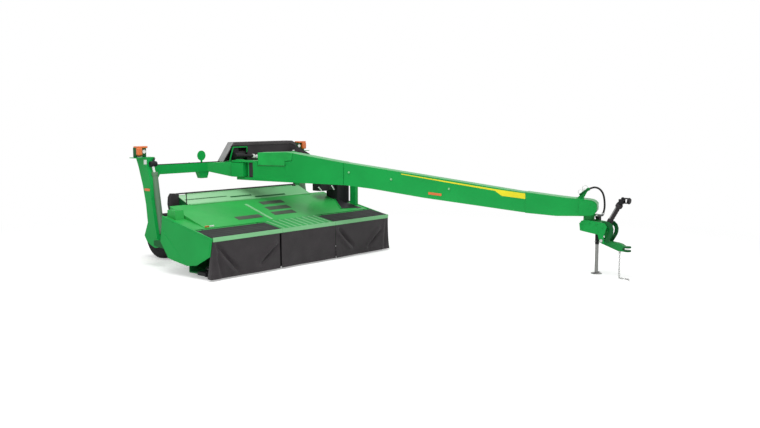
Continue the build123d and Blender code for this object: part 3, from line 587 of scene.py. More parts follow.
# %% Stations of the tongue
FOLD_IN = 0.014
BOX_HALF = 0.150
BEAM_HALF = 0.132
FRONT_HALF = BEAM_HALF + 0.009
FLANGE_THICK = 0.009
FLANGE_PROUD = 0.001
FLANGE_WIDER = 0.004
BOX_STATIONS = (
    # distance from the pivot, bottom, top
    (0.330, 1.349, 1.691), (0.424, 1.346, 1.691), (0.4245, 1.346, 1.610), (0.960, 1.333, 1.610),
    (0.9605, 1.333, 1.690), (1.090, 1.330, 1.702), (1.106, 1.330, 1.838), (1.240, 1.326, 1.8166),
    (1.690, 1.3186, 1.745), (2.036, 1.312, 1.692),
)
REAR_STATIONS = (
    (2.0385, 1.312, 1.690), (2.560, 1.260, 1.6207), (3.470, 1.137, 1.499), (5.060, 0.964, 1.282),
    (5.140, 0.957, 1.274),
)
FRONT_STATIONS = (
    (5.1425, 0.952, 1.281), (5.630, 0.921, 1.2273), (5.810, 0.927, 1.210), (6.100, 0.936, 1.192),
    (6.170, 0.942, 1.182), (6.215, 0.972, 1.162), (6.248, 1.020, 1.125),
)


def folded_box(name, half, stations, fold=FOLD_IN):
    """A box with folded side walls, extruded along the tongue from a short table."""
    start, bottom, top = stations[0]
    bpy.ops.mesh.primitive_cube_add(size=1, location=(0, -start - 0.0005, (bottom + top) / 2))
    piece = bpy.context.object
    piece.name = name
    piece.scale = (2 * half, 0.001, top - bottom)
    apply_place(piece)
    edit(piece)
    if fold:
        middle = (bottom + top) / 2
        bpy.ops.mesh.bisect(plane_co=(0, 0, middle), plane_no=(0, 0, 1))
        bpy.ops.transform.resize(value=((half - fold) / half, 1, 1), center_override=(0, 0, 0))
    pick_faces(piece, lambda centre, normal: normal.y < -0.9)
    for here, there in zip(stations, stations[1:]):
        at, low, high = here
        to, next_low, next_high = there
        bpy.ops.mesh.extrude_region_move(TRANSFORM_OT_translate={"value": (0, at - to, 0)})
        ratio = (next_high - next_low) / (high - low)
        centre = (0, -to, (low + high) / 2)
        bpy.ops.transform.resize(value=(1, 1, ratio), center_override=centre)
        bpy.ops.transform.translate(value=(0, 0, (next_low + next_high - low - high) / 2))
    done()
    return piece


def flanges(name, half, stations):
    """Thin plates that close a folded box above and below, a little wider than it is."""
    above = [(at, top - FLANGE_THICK, top + FLANGE_PROUD) for at, low, top in stations]
    below = [(at, low - FLANGE_PROUD, low + FLANGE_THICK) for at, low, top in stations]
    pair = []
    for number, rows in enumerate((above, below)):
        pair.append(folded_box(name + "_flange_" + str(number), half + FLANGE_WIDER, rows, 0))
    return pair


def facing_up(z):
    """Places a flat outline of (X, Y) pairs at a height z."""
    return Matrix.Translation((0, 0, z))


def half_round(radius, sides=16):
    """Points of the rear half of a circle about the pivot, from +X round to -X."""
    step = math.pi / sides
    return [(radius * math.cos(step * n), radius * math.sin(step * n)) for n in range(sides + 1)]

# %% Tongue box with its fork
box_parts = [folded_box("tongue_walls", BOX_HALF, BOX_STATIONS)]
round_edges(box_parts[0], 0.008, 2, angle=40)
fork_upper = half_round(0.150) + [(-0.150, -0.335), (0.150, -0.335)]
fork_lower = half_round(0.060) + [(-0.150, -0.300), (-0.150, -0.700), (0.150, -0.700), (0.150, -0.300)]
box_parts.append(plate("fork_upper", fork_upper, 0.028, facing_up(1.677), 0.004, STAY))
box_parts.append(plate("fork_lower", fork_lower, 0.050, facing_up(1.374), 0.004, STAY))
box_parts.append(drum("fork_pin", (0, 0, 1.349), (0, 0, 1.691), 0.045, 32, 0.002, STAY))
box_parts.append(drum("fork_pin_collar", (0, 0, 1.690), (0, 0, 1.706), 0.078, 32, 0.003, STAY))
box_parts.append(block("fork_cheek", (-0.118, -0.240, 1.402), (0.118, -0.216, 1.664), 0.006, 2, STAY))
for low, high in ((1.513, 1.538), (1.582, 1.607)):
    box_parts.append(block("cylinder_ear", (0.149, -0.480, low), (0.275, -0.360, high), 0.006, 2, STAY))
box_parts.append(drum("cylinder_pin", (0.215, -0.420, 1.500), (0.215, -0.420, 1.620), 0.020, 20, 0.002,
                      STAY))
tongue_box = fit_out(joined("tongue_box_welded", box_parts), "tongue", "green", replaces=("tongue_box",),
                     place=TONGUE)
# A dark block in the fork's slot paints the shade inside it.
slot_shade = block("pivot_slot_shade", (-0.120, -0.329, 1.402), (0.120, -0.2385, 1.664), 0.012, 3, TONGUE)
fit_out(slot_shade, "tongue", "dark_plastic")
BOSS_CHEEK = ((-0.178, -0.320), (-0.088, -0.530), (0.088, -0.530), (0.178, -0.320))
cheeks = plate("pivot_cheeks", BOSS_CHEEK, 0.247, facing_up(1.5305), 0.006)
fit_out(cheeks, "frame", "green")
print("tongue box of", len(tongue_box.data.polygons), "faces")

# %% Tongue beam
END_CAP = (-6.165, 1.060)
END_PLATE_X = 0.145
beam_parts = []
for name, half, rows in (("beam_rear", BEAM_HALF, REAR_STATIONS),
                         ("beam_front", FRONT_HALF, FRONT_STATIONS)):
    walls = folded_box(name, half, rows)
    round_edges(walls, 0.007, 2, angle=40)
    beam_parts.append(walls)
    beam_parts += flanges(name, half, rows)
END_PLATE = ((-5.985, 1.186), (-6.135, 1.178), (-6.205, 1.160), (-6.243, 1.118), (-6.250, 1.060),
             (-6.236, 1.005), (-6.205, 0.966), (-6.150, 0.950), (-5.965, 0.938))
for x in (-END_PLATE_X, END_PLATE_X):
    beam_parts.append(plate("end_plate", END_PLATE, 0.012, facing_side(x), 0.003, STAY))
beam_parts.append(drum("end_cap", (-0.120, *END_CAP), (0.120, *END_CAP), 0.088, 40, 0.006, STAY))
beam_parts.append(drum("swivel_collar", (0, -6.120, 0.926), (0, -6.120, 0.960), 0.100, 40, 0.004, STAY))
tongue_beam = fit_out(joined("tongue_beam_welded", beam_parts), "tongue", "green", replaces=("tongue_beam",),
                      place=TONGUE)
print("tongue beam of", len(tongue_beam.data.polygons), "faces")

# %% [markdown]
# ### Stripe on the tongue
# A thin yellow stripe runs under the top edge and widens into a bare yellow block. It is a film that
# stands a millimetre proud. A flat filled outline is made thick, and its points are then pushed in, as
# far as the folded wall under it leans in.

# %% Stripe
STRIPE = ((-3.070, 1.5285), (-3.900, 1.4155), (-4.640, 1.3165), (-5.137, 1.2585), (-5.137, 1.171),
          (-4.760, 1.209), (-4.650, 1.288), (-3.900, 1.394), (-3.070, 1.5160))


def height_between(stations, at):
    """Bottom and top of the tongue at a distance from the pivot."""
    for here, there in zip(stations, stations[1:]):
        if here[0] <= at <= there[0]:
            share = (at - here[0]) / (there[0] - here[0])
            return [here[n] + share * (there[n] - here[n]) for n in (1, 2)]
    return list(stations[-1][1:])


def lean(piece, stations, side):
    """Push a film that stands on a side wall in to where the folded wall is."""
    for vertex in piece.data.vertices:
        low, top = height_between(stations, -vertex.co.y)
        share = min(1.0, max(0.0, (top - vertex.co.z) / (top - low) * 2))
        vertex.co.x -= side * FOLD_IN * share


stripes = []
for side in (-1, 1):
    film = plate("stripe_film", STRIPE, 0.0012, facing_side(side * (BEAM_HALF + 0.0004)), 0.0002, STAY)
    edit(film)
    for at in (4.650, 4.760, 4.900, 5.050):
        bpy.ops.mesh.select_all(action="SELECT")
        bpy.ops.mesh.bisect(plane_co=(0, -at, 0), plane_no=(0, 1, 0))
    done()
    lean(film, REAR_STATIONS, side)
    stripes.append(film)
fit_out(joined("tongue_stripe", stripes), "tongue", "yellow", place=TONGUE)
for side, word in ((-1, "near"), (1, "far")):
    x = side * (BEAM_HALF - 0.005)
    amber = block("tongue_reflector_" + word, (x - 0.004, -0.113, -0.020), (x + 0.004, 0.113, 0.020), 0.002,
                  2, STAY)
    apply_place(amber, TONGUE @ Matrix.Translation((0, -3.651, 1.206)) @ Matrix.Rotation(0.093, 4, "X"))
    fit_out(amber, "tongue", "lens")

# %% [markdown]
# ### Bolts
# A bolt head is a six-sided cylinder on a thin washer. One function adds a row of them at given places,
# so that the heads of one plate are one piece.

# %% Bolts
HEAD_PARTS = (
    # sides, radius, bottom and top, in sizes of the bolt: a washer and a head
    (20, 0.95, 0.0, 0.16), (6, 0.62, 0.12, 0.62),
)
FIFTH_TURN = 1.2566
END_CIRCLE = 0.055


def bolts(name, places, facing, size, body, slot="steel", finish=None, place=MACHINE):
    """Hexagon heads with washers at the places given, all facing one way."""
    facing = Vector(facing).normalized()
    turn = facing.to_track_quat("Z", "Y").to_matrix().to_4x4()
    heads = []
    for number, spot in enumerate(places):
        for sides, radius, low, high in HEAD_PARTS:
            bpy.ops.mesh.primitive_cylinder_add(vertices=sides, radius=radius * size,
                                                depth=(high - low) * size)
            head = bpy.context.object
            round_edges(head, 0.06 * size, 1)
            rise = Matrix.Translation((0, 0, (low + high) / 2 * size))
            spin = Matrix.Rotation(0.4 * number, 4, "Z")
            apply_place(head, Matrix.Translation(spot) @ turn @ spin @ rise)
            heads.append(head)
    return fit_out(joined(name, heads), body, slot, finish, place=place)


side_bolts = []
for at, z in ((2.138, 1.528), (2.893, 1.428), (3.890, 1.296)):
    side_bolts.append((-BEAM_HALF + 0.004, -at, z))
# The bolt heads are painted pale: painted highlights.
bolts("tongue_bolts_near", side_bolts, (-1, 0, 0), 0.020, "tongue", "steel", "pale_green", TONGUE)
bolts("tongue_bolts_far", [(-x, y, z) for x, y, z in side_bolts], (1, 0, 0), 0.020, "tongue", "steel",
      "pale_green", TONGUE)
for side in (-1, 1):
    rows = [(side * 0.154, -0.972, 1.655), (side * 0.154, -0.470, 1.640), (side * 0.154, -0.720, 1.632)]
    bolts("cover_bolts_" + str(side + 2), rows, (side, 0, 0), 0.013, "tongue", "steel", "green", TONGUE)
    ring = [(side * 0.147, END_CAP[0] + y, END_CAP[1] + z) for y, z in around(END_CIRCLE, FIFTH_TURN, 5)]
    bolts("end_bolts_" + str(side + 2), ring, (side, 0, 0), 0.013, "tongue", "steel", "green", TONGUE)
# A thin dark strip under each edge of the cover paints the shadow between cover and box.
cover_shadow = [block("cover_painted_shadow", (side * 0.1555 - 0.002, -0.953, 1.610), (side * 0.1555 + 0.002, -0.432, 1.617),
              0.001, 1, STAY) for side in (-1, 1)]
fit_out(joined("cover_painted_shadow", cover_shadow), "tongue", "dark_plastic", place=TONGUE)

# %% [markdown]
# ## Curtains
# Three coated-cloth curtains keep stones under the header. Each is a fine grid that hangs from the front
# bar, wraps round the outer corner and reaches nearly to the ground. The stiff cloth keeps the diagonal
# creases of its folding, so those are pressed into the grid as soft valleys, with a slow wave between
# them, and the sheet then gets its thickness and a doubled hem. A narrow black backing behind the slit
# between the right and the centre curtain keeps the light out of it.

# %% Curtain grid and creases
CURTAIN_FACE = -2.0735
CURTAIN_TOP = 0.606
CURTAIN_HEM = 0.030
DOOR_INNER = 0.630
DOOR_OUTER = 2.062
SLIT = 0.003
NEAR_SLIT = (-0.695, -0.655)
RETURN_TOP = 0.020
RETURN_FOOT = 0.120
CORNER_FLARE = 0.040
FLARE_REACH = 0.16
CELL = 0.014
WAVE_HEIGHT = 0.010
HANG_OUT = 0.006
CLOTH_THICK = 0.003
HEM_THICK = 0.002
HEM_HEIGHT = 0.050
HEM_PROUD = 0.0026
CLOTH_SMOOTH = math.radians(40)


def near_line(x, z, start, end):
    """Distance of a point from a line in the curtain, and how far along the line it lies."""
    run_x, run_z = end[0] - start[0], end[1] - start[1]
    length = math.hypot(run_x, run_z)
    along = ((x - start[0]) * run_x + (z - start[1]) * run_z) / length ** 2
    across = ((x - start[0]) * run_z - (z - start[1]) * run_x) / length
    return across, along


def crease_depth(x, z, crease):
    """How far a crease pushes the cloth back: a valley with a soft ridge beside it."""
    start, end, depth, width = crease
    across, along = near_line(x, z, start, end)
    if along < -0.1 or along > 1.15:
        return 0.0
    fade = math.sin(math.pi * min(1.0, max(0.0, (along + 0.1) / 1.25))) ** 0.7
    valley = math.exp(-(across / width) ** 2)
    ridge = 0.55 * math.exp(-((across - 2.1 * width) / (1.5 * width)) ** 2)
    return depth * fade * (valley - ridge)


def wave(x, share, phase):
    """The slow wave of a free edge, nothing at the bar and most at the hem."""
    slow = math.sin(2.9 * x + phase) + 0.45 * math.sin(7.3 * x + 1.7 * phase) + 0.2 * math.sin(17.0 * x)
    return WAVE_HEIGHT * share ** 1.6 * slow


def curtain_grid(name, span, corner, creases, phase, top, proud):
    """A hanging grid with a return round the corner on one side, -1, 0 or +1."""
    low_x, high_x = span
    reach = RETURN_FOOT if corner else 0.0
    width = high_x - low_x + reach
    columns = int(width / CELL)
    rows = max(4, int((top - CURTAIN_HEM) / CELL))
    bpy.ops.mesh.primitive_grid_add(x_subdivisions=columns, y_subdivisions=rows, size=1)
    sheet = bpy.context.object
    sheet.name = name
    start = low_x - (reach if corner < 0 else 0.0)
    for vertex in sheet.data.vertices:
        x = start + (vertex.co.x + 0.5) * width
        z = top - (0.5 - vertex.co.y) * (top - CURTAIN_HEM)
        share = (CURTAIN_TOP - z) / (CURTAIN_TOP - CURTAIN_HEM)
        y = CURTAIN_FACE + sum(crease_depth(x, z, row) for row in creases) + wave(x, share, phase)
        y -= HANG_OUT * share + proud
        edge = low_x if corner < 0 else high_x
        past = max(corner * (x - edge), 0.0)
        flare = CORNER_FLARE * share ** 2 * math.exp(-((x - edge) / FLARE_REACH) ** 2) if corner else 0.0
        if past > 1e-6:
            tuck = RETURN_TOP + (RETURN_FOOT - RETURN_TOP) * share ** 0.8
            y += past / reach * tuck
            x = edge + corner * (proud + 0.003 * math.sin(3 * past / reach))
        vertex.co = (x + corner * flare, y, z)
    solid = sheet.modifiers.new("cloth", "SOLIDIFY")
    solid.thickness = HEM_THICK if proud else CLOTH_THICK
    solid.offset = 0.0
    bpy.ops.object.modifier_apply(modifier="cloth")
    return sheet, (width, top - CURTAIN_HEM)


def hang_curtain(name, body, node, span, corner, creases, phase):
    """The sheet, its doubled hem, smooth shading and its place on the machine."""
    sheet, flat = curtain_grid(name, span, corner, creases, phase, CURTAIN_TOP, 0.0)
    hem = curtain_grid(name + "_hem", span, corner, creases, phase, CURTAIN_HEM + HEM_HEIGHT, HEM_PROUD)[0]
    sheet = joined(name, [sheet, hem])
    apply_place(sheet, MACHINE)
    sheet.data.materials.append(finishes["curtain"])
    bpy.ops.object.shade_smooth_by_angle(angle=CLOTH_SMOOTH)
    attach(sheet, body)
    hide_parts(node)
    print(sheet.name, "is", [round(side, 3) for side in flat], "m flat")

# %% Three curtains
NEAR_CREASES = (((-1.985, 0.545), (-1.600, 0.155), 0.052, 0.034),
                ((-0.740, 0.400), (-1.080, 0.170), 0.046, 0.030),
                ((-1.995, 0.520), (-1.880, 0.050), 0.022, 0.030))
FAR_CREASES = (((0.735, 0.510), (1.065, 0.215), 0.050, 0.034),
               ((1.860, 0.380), (1.525, 0.150), 0.044, 0.030),
               ((2.010, 0.540), (1.940, 0.060), 0.018, 0.028))
hang_curtain("curtain_right", "door_right", "door_curtain_right", (-DOOR_OUTER, NEAR_SLIT[0]), -1,
             NEAR_CREASES, 0.4)
SLIT_STOP = ((NEAR_SLIT[0] - 0.020, -2.0400, 0.045), (NEAR_SLIT[1] + 0.070, -2.0340, 0.620))
fit_out(block("slit_stop", SLIT_STOP[0], SLIT_STOP[1], 0.002), "header", "black")
hang_curtain("curtain_centre", "header", "centre_curtain", (NEAR_SLIT[1], DOOR_INNER - SLIT), 0, (), 2.1)
hang_curtain("curtain_left", "door_left", "door_curtain_left", (DOOR_INNER + SLIT, DOOR_OUTER), 1,
             FAR_CREASES, 3.6)

# %% [markdown]
# ## Side panels
# Each end of the header is closed by a pressed steel panel: a flat field with a stiffening fold across
# its lower rear corner and a rounded rim. The outline is filled and made thick, and the two fields are
# plates of their own with wide bevelled edges, which is what pressing looks like from outside.

# %% Pressed side panels
PANEL_X = 2.074
PANEL_OUTLINE = ((-2.070, 0.650), (-2.020, 0.375), (-1.690, 0.207), (-1.460, 0.177), (-1.130, 0.224),
                 (-0.990, 0.252), (-0.800, 0.500), (-0.860, 0.910))
FRONT_FIELD = ((-2.035, 0.625), (-1.992, 0.392), (-1.690, 0.240), (-1.480, 0.208), (-0.950, 0.660),
               (-0.900, 0.868))
REAR_FIELD = ((-1.405, 0.212), (-1.130, 0.250), (-1.005, 0.276), (-0.835, 0.505), (-0.870, 0.690),
              (-0.925, 0.625))
for side, word in ((-1, "right"), (1, "left")):
    sheet_metal = plate("panel", PANEL_OUTLINE, 0.010, facing_side(side * PANEL_X), 0.003, STAY)
    fields = [sheet_metal]
    for outline in (FRONT_FIELD, REAR_FIELD):
        fields.append(plate("field", outline, 0.010, facing_side(side * (PANEL_X + 0.0035)), 0.0035, STAY))
    rim = plate("rim", ((-2.070, 0.652), (-0.860, 0.912), (-0.862, 0.897), (-2.070, 0.636)), 0.034,
                facing_side(side * (PANEL_X - 0.010)), 0.004, STAY)
    fit_out(joined("side_panel_" + word + "_pressed", fields + [rim]), "header", "green",
            replaces=("side_panel_" + word,), place=MACHINE)
    row = [(side * (PANEL_X + 0.005), y, z) for y, z in ((-1.990, 0.645), (-1.560, 0.737), (-1.130, 0.829))]
    bolts("panel_bolts_" + word, row, (side, 0, 0), 0.012, "header", "steel", "green")

# %% [markdown]
# ## Tyres
# An implement tyre is broad and low, with straight ribs round its tread and a plain side wall. Its half
# section is a line of points, which the spin operator turns once round the axle.

# %% Ribbed tyres
TYRE_X = 1.1185
AXLE = (0.340, 0.3937)
TYRE_SECTION = (
    # across from the middle of the tread, out from the axle
    (0.150, 0.1915), (0.160, 0.2000), (0.1640, 0.2250), (0.1705, 0.2700), (0.1712, 0.3150),
    (0.1680, 0.3450), (0.1600, 0.3640), (0.1480, 0.3760), (0.1300, 0.3830), (0.1120, 0.3870),
    (0.1080, 0.3740), (0.0980, 0.3740), (0.0940, 0.3895), (0.0560, 0.3925), (0.0520, 0.3780),
    (0.0400, 0.3780), (0.0360, 0.3932),
)
TYRE_STEPS = 72
SIXTH_TURN = 1.0472
EIGHTH_TURN = 0.7854
NUT_CIRCLE = 0.102
WALL_X = 0.1690
BEADS_OUT = (0.252, 0.330)


def spun(name, profile, steps, centre):
    """A closed profile of (X, radius) pairs spun round an axle along X."""
    bpy.ops.mesh.primitive_circle_add(vertices=len(profile), radius=1)
    piece = bpy.context.object
    piece.name = name
    for vertex, (across, out) in zip(piece.data.vertices, profile):
        vertex.co = (across, 0, out)
    edit(piece)
    bpy.ops.mesh.spin(steps=steps, angle=2 * math.pi, center=(0, 0, 0), axis=(1, 0, 0))
    bpy.ops.mesh.select_all(action="SELECT")
    bpy.ops.mesh.remove_doubles(threshold=WELD)
    bpy.ops.mesh.normals_make_consistent(inside=False)
    done()
    apply_place(piece, Matrix.Translation(centre))
    return piece


for side, word in ((-1, "right"), (1, "left")):
    half_section = list(TYRE_SECTION)
    section = half_section + [(-across, out) for across, out in reversed(half_section)]
    parts_of_tyre = [spun("tyre_body", section, TYRE_STEPS, (side * TYRE_X, *AXLE))]
    for out in BEADS_OUT:
        bead = [(WALL_X + across, out + up) for across, up in around(0.0028, SIXTH_TURN, 6, 0.0040)]
        for face in (-1, 1):
            ring = [(face * across, height) for across, height in bead]
            parts_of_tyre.append(spun("wall_bead", ring, TYRE_STEPS, (side * TYRE_X, *AXLE)))
    tyre = fit_out(joined("tyre_" + word + "_ribbed", parts_of_tyre), "wheel_" + word, "tyre",
                   replaces=("tyre_" + word,), place=MACHINE)
    studs = [(side * (TYRE_X + 0.048), AXLE[0] + y, AXLE[1] + z)
             for y, z in around(NUT_CIRCLE, EIGHTH_TURN, 8)]
    bolts("wheel_nuts_" + word, studs, (side, 0, 0), 0.016, "wheel_" + word)
    cap = drum("hub_cap_" + word, (side * (TYRE_X + 0.118), *AXLE), (side * (TYRE_X + 0.140), *AXLE), 0.052,
               32, 0.008)
    fit_out(cap, "wheel_" + word, "yellow", "rim_yellow")
print("tyre of", len(tyre.data.polygons), "faces")

# %% [markdown]
# ## Lamps
# Each leg carries a lamp plate: an amber lamp shines forward and outward, wrapped over the plate's top,
# and a clear reflector sits on the inner half. The lens is a cube rounded generously, on a dark plate.

# %% Lamp clusters
LAMP_LOW = 1.8023
LAMP_TOP = 1.985
LAMP_X = (1.745, 1.955)
clusters = {"plate": [], "amber": [], "clear": [], "foot": []}
for side in (-1, 1):
    near, far = sorted((side * LAMP_X[0], side * LAMP_X[1]))
    inner, outer = side * LAMP_X[0], side * LAMP_X[1]
    clusters["plate"].append(block("lamp_plate", (near, -0.030, LAMP_LOW), (far, 0.050, LAMP_TOP - 0.020),
                                   0.012, 3))
    middle = inner + side * 0.112
    low_x, high_x = sorted((middle, outer))
    clusters["amber"].append(block("lens", (low_x, -0.090, LAMP_LOW + 0.030),
                                   (high_x, -0.028, LAMP_TOP - 0.024), 0.022, 4))
    clusters["amber"].append(block("lens_top", (near + 0.004, -0.078, LAMP_TOP - 0.034),
                                   (far - 0.004, 0.040, LAMP_TOP), 0.010, 3))
    low_x, high_x = sorted((inner + side * 0.018, inner + side * 0.092))
    middle = (low_x + high_x) / 2
    clusters["clear"].append(drum("reflector", (middle, -0.030, 1.895), (middle, -0.046, 1.895), 0.034, 32,
                                  0.005))
    clusters["foot"].append(block("lamp_foot", (near + 0.020, -0.060, LAMP_LOW),
                                  (far - 0.100, 0.020, LAMP_LOW + 0.012), 0.003, 1))
fit_out(joined("lamp_plates", clusters["plate"]), "frame", "green", "dark_green", ("lamps",))
fit_out(joined("amber_lenses", clusters["amber"]), "frame", "lens")
fit_out(joined("clear_reflectors", clusters["clear"]), "frame", "lens", "clear_lens")
fit_out(joined("lamp_feet", clusters["foot"]), "frame", "steel")

# %% [markdown]
# ## Header top
# The deck is one big sheet with a fold down its middle, anti-slip strips to climb on, a folded flange
# where it meets the rear hood, and ribs on the step between the doors. The black doors are covered with
# rubber in raised rows.

# %% Places on the deck
DECK_FRONT = (-1.590, 0.743)
DECK_REAR = (-0.690, 1.030)
DECK_SLOPE = math.atan2(DECK_REAR[1] - DECK_FRONT[1], DECK_REAR[0] - DECK_FRONT[0])
DOOR_FRONT = (-2.070, 0.6633)
DOOR_REAR = (-1.645, 0.7333)
DOOR_SLOPE = math.atan2(DOOR_REAR[1] - DOOR_FRONT[1], DOOR_REAR[0] - DOOR_FRONT[0])


def on_slope(start, slope, y):
    """The matrix of a sloping sheet whose own Y runs up it, at the point that lies over y."""
    z = start[1] + (y - start[0]) * math.tan(slope)
    return MACHINE @ Matrix.Translation((0, y, z)) @ Matrix.Rotation(slope, 4, "X")


def slope_block(name, start, slope, x, y, low, high, bevel=0.002):
    """A box on a sloping sheet, between two X values and two Y values over the ground."""
    middle = (y[0] + y[1]) / 2
    reach = abs(y[1] - y[0]) / 2 / math.cos(slope)
    return block(name, (x[0], -reach, low), (x[1], reach, high), bevel, 2, on_slope(start, slope, middle))

# %% Strips, ridge and flange
STRIPS = (((-0.040, 0.500), (-0.980, -0.855)), ((-0.100, 0.430), (-1.213, -1.075)),
          ((-0.160, 0.360), (-1.415, -1.285)), ((-0.995, -0.450), (-1.440, -1.315)))
strips = [slope_block("strip", DECK_FRONT, DECK_SLOPE, x, y, -0.001, 0.003, 0.001) for x, y in STRIPS]
fit_out(joined("deck_grip_strips", strips), "header", "black", "grip")
# The ridge is painted pale along its fold: a painted highlight.
ridge = slope_block("ridge", DECK_FRONT, DECK_SLOPE, (-0.400, -0.345), (-1.560, -0.900), -0.002, 0.012,
                    0.006)
fit_out(ridge, "header", "deck_green", "pale_green")
# The flange is painted pale: a painted highlight along its edge.
flange_parts = [
    slope_block("flange", DECK_FRONT, DECK_SLOPE, (-1.415, 0.150), (-0.730, -0.692), -0.001, 0.016, 0.003),
    slope_block("flange_end", DECK_FRONT, DECK_SLOPE, (0.150, 1.415), (-0.724, -0.692), -0.001, 0.012,
                0.003),
]
fit_out(joined("deck_flange", flange_parts), "header", "deck_green", "pale_green")

# %% [markdown]
# ### Hood and drive corner
# A black tube runs along the hood's upper edge and ends in a moulded black cap near the leg. At the
# other end of the header a black guard stands over the drive. Its feet follow the two slopes of the
# deck, so each block is drawn too deep and the bisect operator cuts it off on the deck's own plane.

# %% Tube, cap and slots of the hood
ROOF = (-0.690, 1.038)
ROOF_SLOPE = math.atan2(0.135, 0.310)
hood_trim = [
    drum("hood_tube", (-1.440, -0.384, 1.188), (1.262, -0.384, 1.188), 0.012, 20, 0.002, STAY),
    drum("hood_knob", (1.256, -0.384, 1.180), (1.330, -0.384, 1.162), 0.022, 24, 0.006, STAY),
    plate("hood_cap",
          ((-1.424, 1.196), (-1.560, 1.206), (-1.600, 1.150), (-1.612, 1.030), (-1.590, 0.930),
           (-1.500, 0.880), (-1.424, 0.990)), 0.086, facing_front(-0.408), 0.014, STAY),
    drum("marker_rod", (-1.470, -0.700, 1.016), (-1.470, -0.700, 1.235), 0.008, 16, 0.002, STAY),
]
fit_out(joined("hood_trim", hood_trim), "header", "black", "dark_plastic", place=MACHINE)
# The slots are thin dark strips on the hood: painted shade in the openings.
slots = [slope_block("slot", ROOF, ROOF_SLOPE, x, y, -0.002, 0.003, 0.001)
         for x, y in (((0.080, 0.800), (-0.672, -0.640)), ((-0.440, 0.040), (-0.600, -0.578)),
                      ((-1.395, -0.500), (-0.560, -0.550)))]
fit_out(joined("hood_slots", slots), "header", "black", "dark_green")

# %% Guard over the drive and the dark corner of the deck
END_FRONT = (-1.590, 0.743)
END_REAR = (-0.870, 0.900)
END_SLOPE = math.atan2(END_REAR[1] - END_FRONT[1], END_REAR[0] - END_FRONT[0])
GUARD_TOP = 1.190


def standing(name, low, high, slope, bevel):
    """A block from a sloping sheet up: drawn too deep, then cut on the sheet's plane."""
    piece = block(name, (low[0], low[1], 0.600), high, bevel, 3, STAY)
    edit(piece)
    on_sheet = (0, END_FRONT[0], END_FRONT[1] + 0.0002)
    bpy.ops.mesh.bisect(plane_co=on_sheet, plane_no=(0, -math.sin(slope), math.cos(slope)), use_fill=True,
                        clear_inner=True)
    done()
    return piece


guard = [
    standing("guard_main", (1.690, -1.150), (1.8005, -0.870, GUARD_TOP), DECK_SLOPE, 0.0),
    standing("guard_outer", (1.8025, -1.150), (2.015, -0.870, GUARD_TOP), END_SLOPE, 0.0),
    block("guard_arm", (1.290, -1.100, 1.090), (1.700, -0.880, 1.250), 0.020, 3, STAY),
    block("guard_fold", (1.880, -1.156, 0.880), (1.960, -1.148, 1.170), 0.003, 2, STAY),
]
fit_out(joined("drive_guard_moulded", guard), "header", "dark_plastic", "black", ("drive_guard",),
        place=MACHINE)
APRON = ((1.790, -0.915), (1.699, -1.067), (1.539, -1.309), (1.432, -1.470), (1.790, -1.510))


def over_slope(outline):
    """Outline points from the ground plan to the sloping sheet's own measure."""
    return [(x, (y - END_FRONT[0]) / math.cos(DECK_SLOPE)) for x, y in outline]


corner = plate("deck_corner_main", over_slope(APRON), 0.006, Matrix.Translation((0, 0, 0.0032)), 0.001,
               on_slope(DECK_FRONT, DECK_SLOPE, END_FRONT[0]))
outer = slope_block("deck_corner_end", END_FRONT, END_SLOPE, (1.804, 1.950), (-1.525, -1.152), 0.0004, 0.006,
                    0.001)
fit_out(joined("deck_corner", [corner, outer]), "header", "black")
lip_line = [(1.785, -0.908), (1.694, -1.060), (1.534, -1.302), (1.424, -1.463), (1.430, -1.482),
            (1.441, -1.470), (1.545, -1.313), (1.705, -1.071), (1.797, -0.919)]
corner_lip = plate("deck_corner_lip", over_slope(lip_line), 0.018, Matrix.Translation((0, 0, 0.008)), 0.002,
                   on_slope(DECK_FRONT, DECK_SLOPE, END_FRONT[0]))
fit_out(corner_lip, "header", "green")
# The two struts are painted white: painted highlights.
links = [drum("drive_link", (1.225, -1.110, 1.172), (1.300, -1.110, 1.100), 0.011, 16, 0.002),
         drum("drive_link", (1.520, -1.162, 1.185), (1.585, -1.162, 1.105), 0.013, 16, 0.002)]
fit_out(joined("drive_links", links), "header", "steel", "white")
reflectors = [slope_block("reflector", DECK_FRONT, DECK_SLOPE, x, (-1.560, -1.546), -0.001, 0.024, 0.003)
              for x in ((-1.790, -1.715), (-1.700, -1.610))]
fit_out(joined("deck_reflectors", reflectors[1:]), "header", "lens", "clear_lens")
fit_out(reflectors[0], "header", "lens")
reflectors[0].name = "deck_reflector_amber"

# %% Ribs of the step and studs of the doors
STEP_FRONT = (-2.058, 0.655)
STEP_REAR = (-1.590, 0.743)
STEP_SLOPE = math.atan2(STEP_REAR[1] - STEP_FRONT[1], STEP_REAR[0] - STEP_FRONT[0])
# The ribs are painted pale: painted highlights on their tops.
ribs = []
for x in spaced(-0.548, 0.137, 9):
    ribs.append(slope_block("rib", STEP_FRONT, STEP_SLOPE, (x - 0.012, x + 0.012), (-2.035, -1.620), -0.001,
                            0.010, 0.004))
fit_out(joined("step_ribs", ribs), "header", "deck_green", "pale_green")
for side, word in ((-1, "right"), (1, "left")):
    studs = []
    low_x, high_x = sorted((side * (DOOR_INNER + 0.030), side * (DOOR_OUTER - 0.030)))
    for y in spaced(-2.030, 0.082, 5):
        studs.append(slope_block("stud_row", DOOR_FRONT, DOOR_SLOPE, (low_x, high_x), (y, y + 0.045), -0.001,
                                 0.003, 0.001))
    fit_out(joined("door_grip_" + word, studs), "door_" + word, "black", "black_grip")
